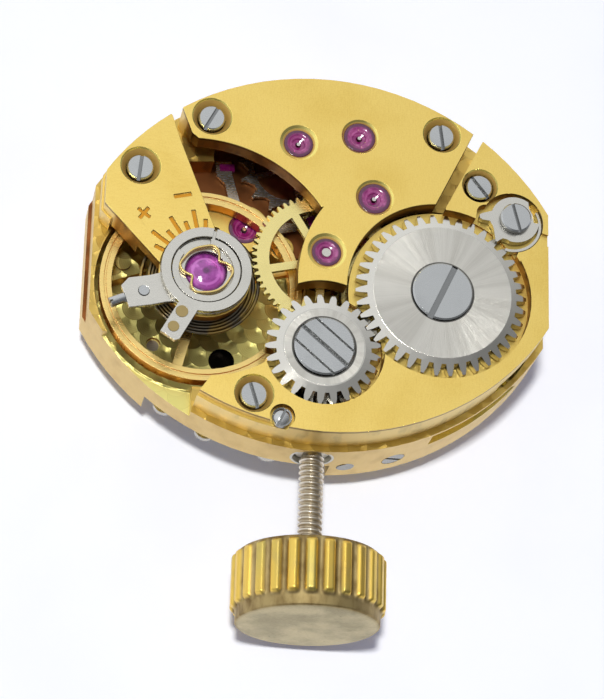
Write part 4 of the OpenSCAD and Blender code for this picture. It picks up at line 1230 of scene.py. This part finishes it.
class MOVEMENT_OT_stage(bpy.types.Operator):
    """Floor, lamps, world and camera"""

    bl_idname = "movement.stage"
    bl_label = "Stage"

    # Name, place, side, watts and colour. The key lights the pieces and the glint shines on them
    LAMPS = (
        ("key", (-0.045, -0.03, 0.295), 0.026, 0.74, srgb(255, 253, 248)),
        ("glint", (-0.057, 0.0, 0.294), 0.04, 0.17, srgb(255, 255, 255)),
    )
    FLOOR_SIDE = 1.0

    def execute(self, context):
        stage = context.scene.movement_stage
        self.world(context, stage)
        self.floor(stage)
        for name, at, side, watts, colour in self.LAMPS:
            lamp = bpy.data.lights.new(name, "AREA")
            lamp.shape = "RECTANGLE"
            lamp.energy, lamp.color = watts, colour
            lamp.size = lamp.size_y = side
            made = link(name, lamp)
            made.location = at
            made.rotation_euler = (-Vector(at)).to_track_quat("-Z", "Y").to_euler()
            made.visible_glossy = name == "glint"
            made.visible_diffuse = name == "key"
        self.camera(context, stage)
        context.scene.view_settings.view_transform = "Standard"
        return {"FINISHED"}

    def world(self, context, stage):
        """Bluish light from all round, and the floor's colour behind, dimmer in mirrors."""
        world = bpy.data.worlds.new("studio")
        world.use_nodes = True
        context.scene.world = world
        g = Graph(world.node_tree)
        world.node_tree.nodes.clear()
        plain, mirrored = g.seen()
        light = g.node("ShaderNodeBackground", None, srgb(208, 212, 255), stage.ambient)
        x, y, z = g.split(g.node("ShaderNodeTexCoord", out="Generated"))
        room = (x * -0.5 + y * 0.5 + z * 0.2 + 0.5).at_least(0.2).at_most(1.0)
        shown = g.node("ShaderNodeBackground", None, stage.floor, 1 + mirrored * (room - 1))
        both = g.node("ShaderNodeMixShader", None, plain, light, shown)
        g.node("ShaderNodeOutputWorld", None, both)

    def floor(self, stage):
        """Pale paper that the movement lies on."""
        f = Finish("floor_paper")
        grain = f.noise(0.15, detail=3)
        tone = f.mix(stage.floor, dim(stage.floor, 0.97), f.ramp(grain, 0.4, 0.7))
        glow = f.seen()[0] * 0.06
        paper = f.surface(
            Base_Color=tone, Roughness=0.9, Emission_Color=stage.floor, Emission_Strength=glow
        )
        mesh = bpy.data.meshes.new("floor")
        side, level = self.FLOOR_SIDE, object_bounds()[0].z
        corners = ((-side, -side), (side, -side), (side, side), (-side, side))
        mesh.from_pydata([(*corner, level) for corner in corners], [], [(0, 1, 2, 3)])
        mesh.materials.append(paper)
        link("floor", mesh)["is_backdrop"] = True

    def camera(self, context, stage):
        flat, height = math.cos(stage.elevation), math.sin(stage.elevation)
        back = Vector((math.sin(stage.azimuth) * flat, -math.cos(stage.azimuth) * flat, height))
        across = Vector((0, 0, 1)).cross(back).normalized()
        upward = back.cross(across)
        turn = Matrix((across, upward, back)).transposed() @ Matrix.Rotation(stage.roll, 3, "Z")
        data = bpy.data.cameras.new("camera")
        data.lens = stage.lens
        data.clip_start, data.clip_end = 0.001, 10
        camera = link("camera", data)
        place = Matrix.Translation(Vector(stage.aim) + back * stage.distance)
        camera.matrix_world = place @ turn.to_4x4()
        context.scene.camera = camera


OPERATORS = (
    MOVEMENT_OT_plate,
    MOVEMENT_OT_bridges,
    MOVEMENT_OT_screws,
    MOVEMENT_OT_jewels,
    MOVEMENT_OT_balance,
    MOVEMENT_OT_regulator,
    MOVEMENT_OT_train,
    MOVEMENT_OT_winding,
    MOVEMENT_OT_stem,
    MOVEMENT_OT_dial_side,
    MOVEMENT_OT_stage,
)
SETTINGS = {
    "movement_colours": MovementColours,
    "movement_sizes": MovementSizes,
    "movement_stage": MovementStage,
}


class MOVEMENT_PT_panel(bpy.types.Panel):
    """Lists the movement's settings and operators"""

    bl_idname = "MOVEMENT_PT_panel"
    bl_label = "Watch movement"
    bl_space_type = "VIEW_3D"
    bl_region_type = "UI"
    bl_category = "Movement"

    def draw(self, context):
        for group in SETTINGS:
            settings = getattr(context.scene, group)
            for key in settings.__annotations__:
                self.layout.prop(settings, key)
        for operator in OPERATORS:
            self.layout.operator(operator.bl_idname)


def register():
    for made in (*SETTINGS.values(), *OPERATORS, MOVEMENT_PT_panel):
        bpy.utils.register_class(made)
    for key, group in SETTINGS.items():
        setattr(bpy.types.Scene, key, bpy.props.PointerProperty(type=group))


def unregister():
    for key in SETTINGS:
        delattr(bpy.types.Scene, key)
    for made in (MOVEMENT_PT_panel, *reversed(OPERATORS), *reversed(SETTINGS.values())):
        bpy.utils.unregister_class(made)


def main():
    register()
    make_finishes()
    for operator in OPERATORS:
        group, _, name = operator.bl_idname.partition(".")
        getattr(getattr(bpy.ops, group), name)()


if __name__ == "__main__":
    main()
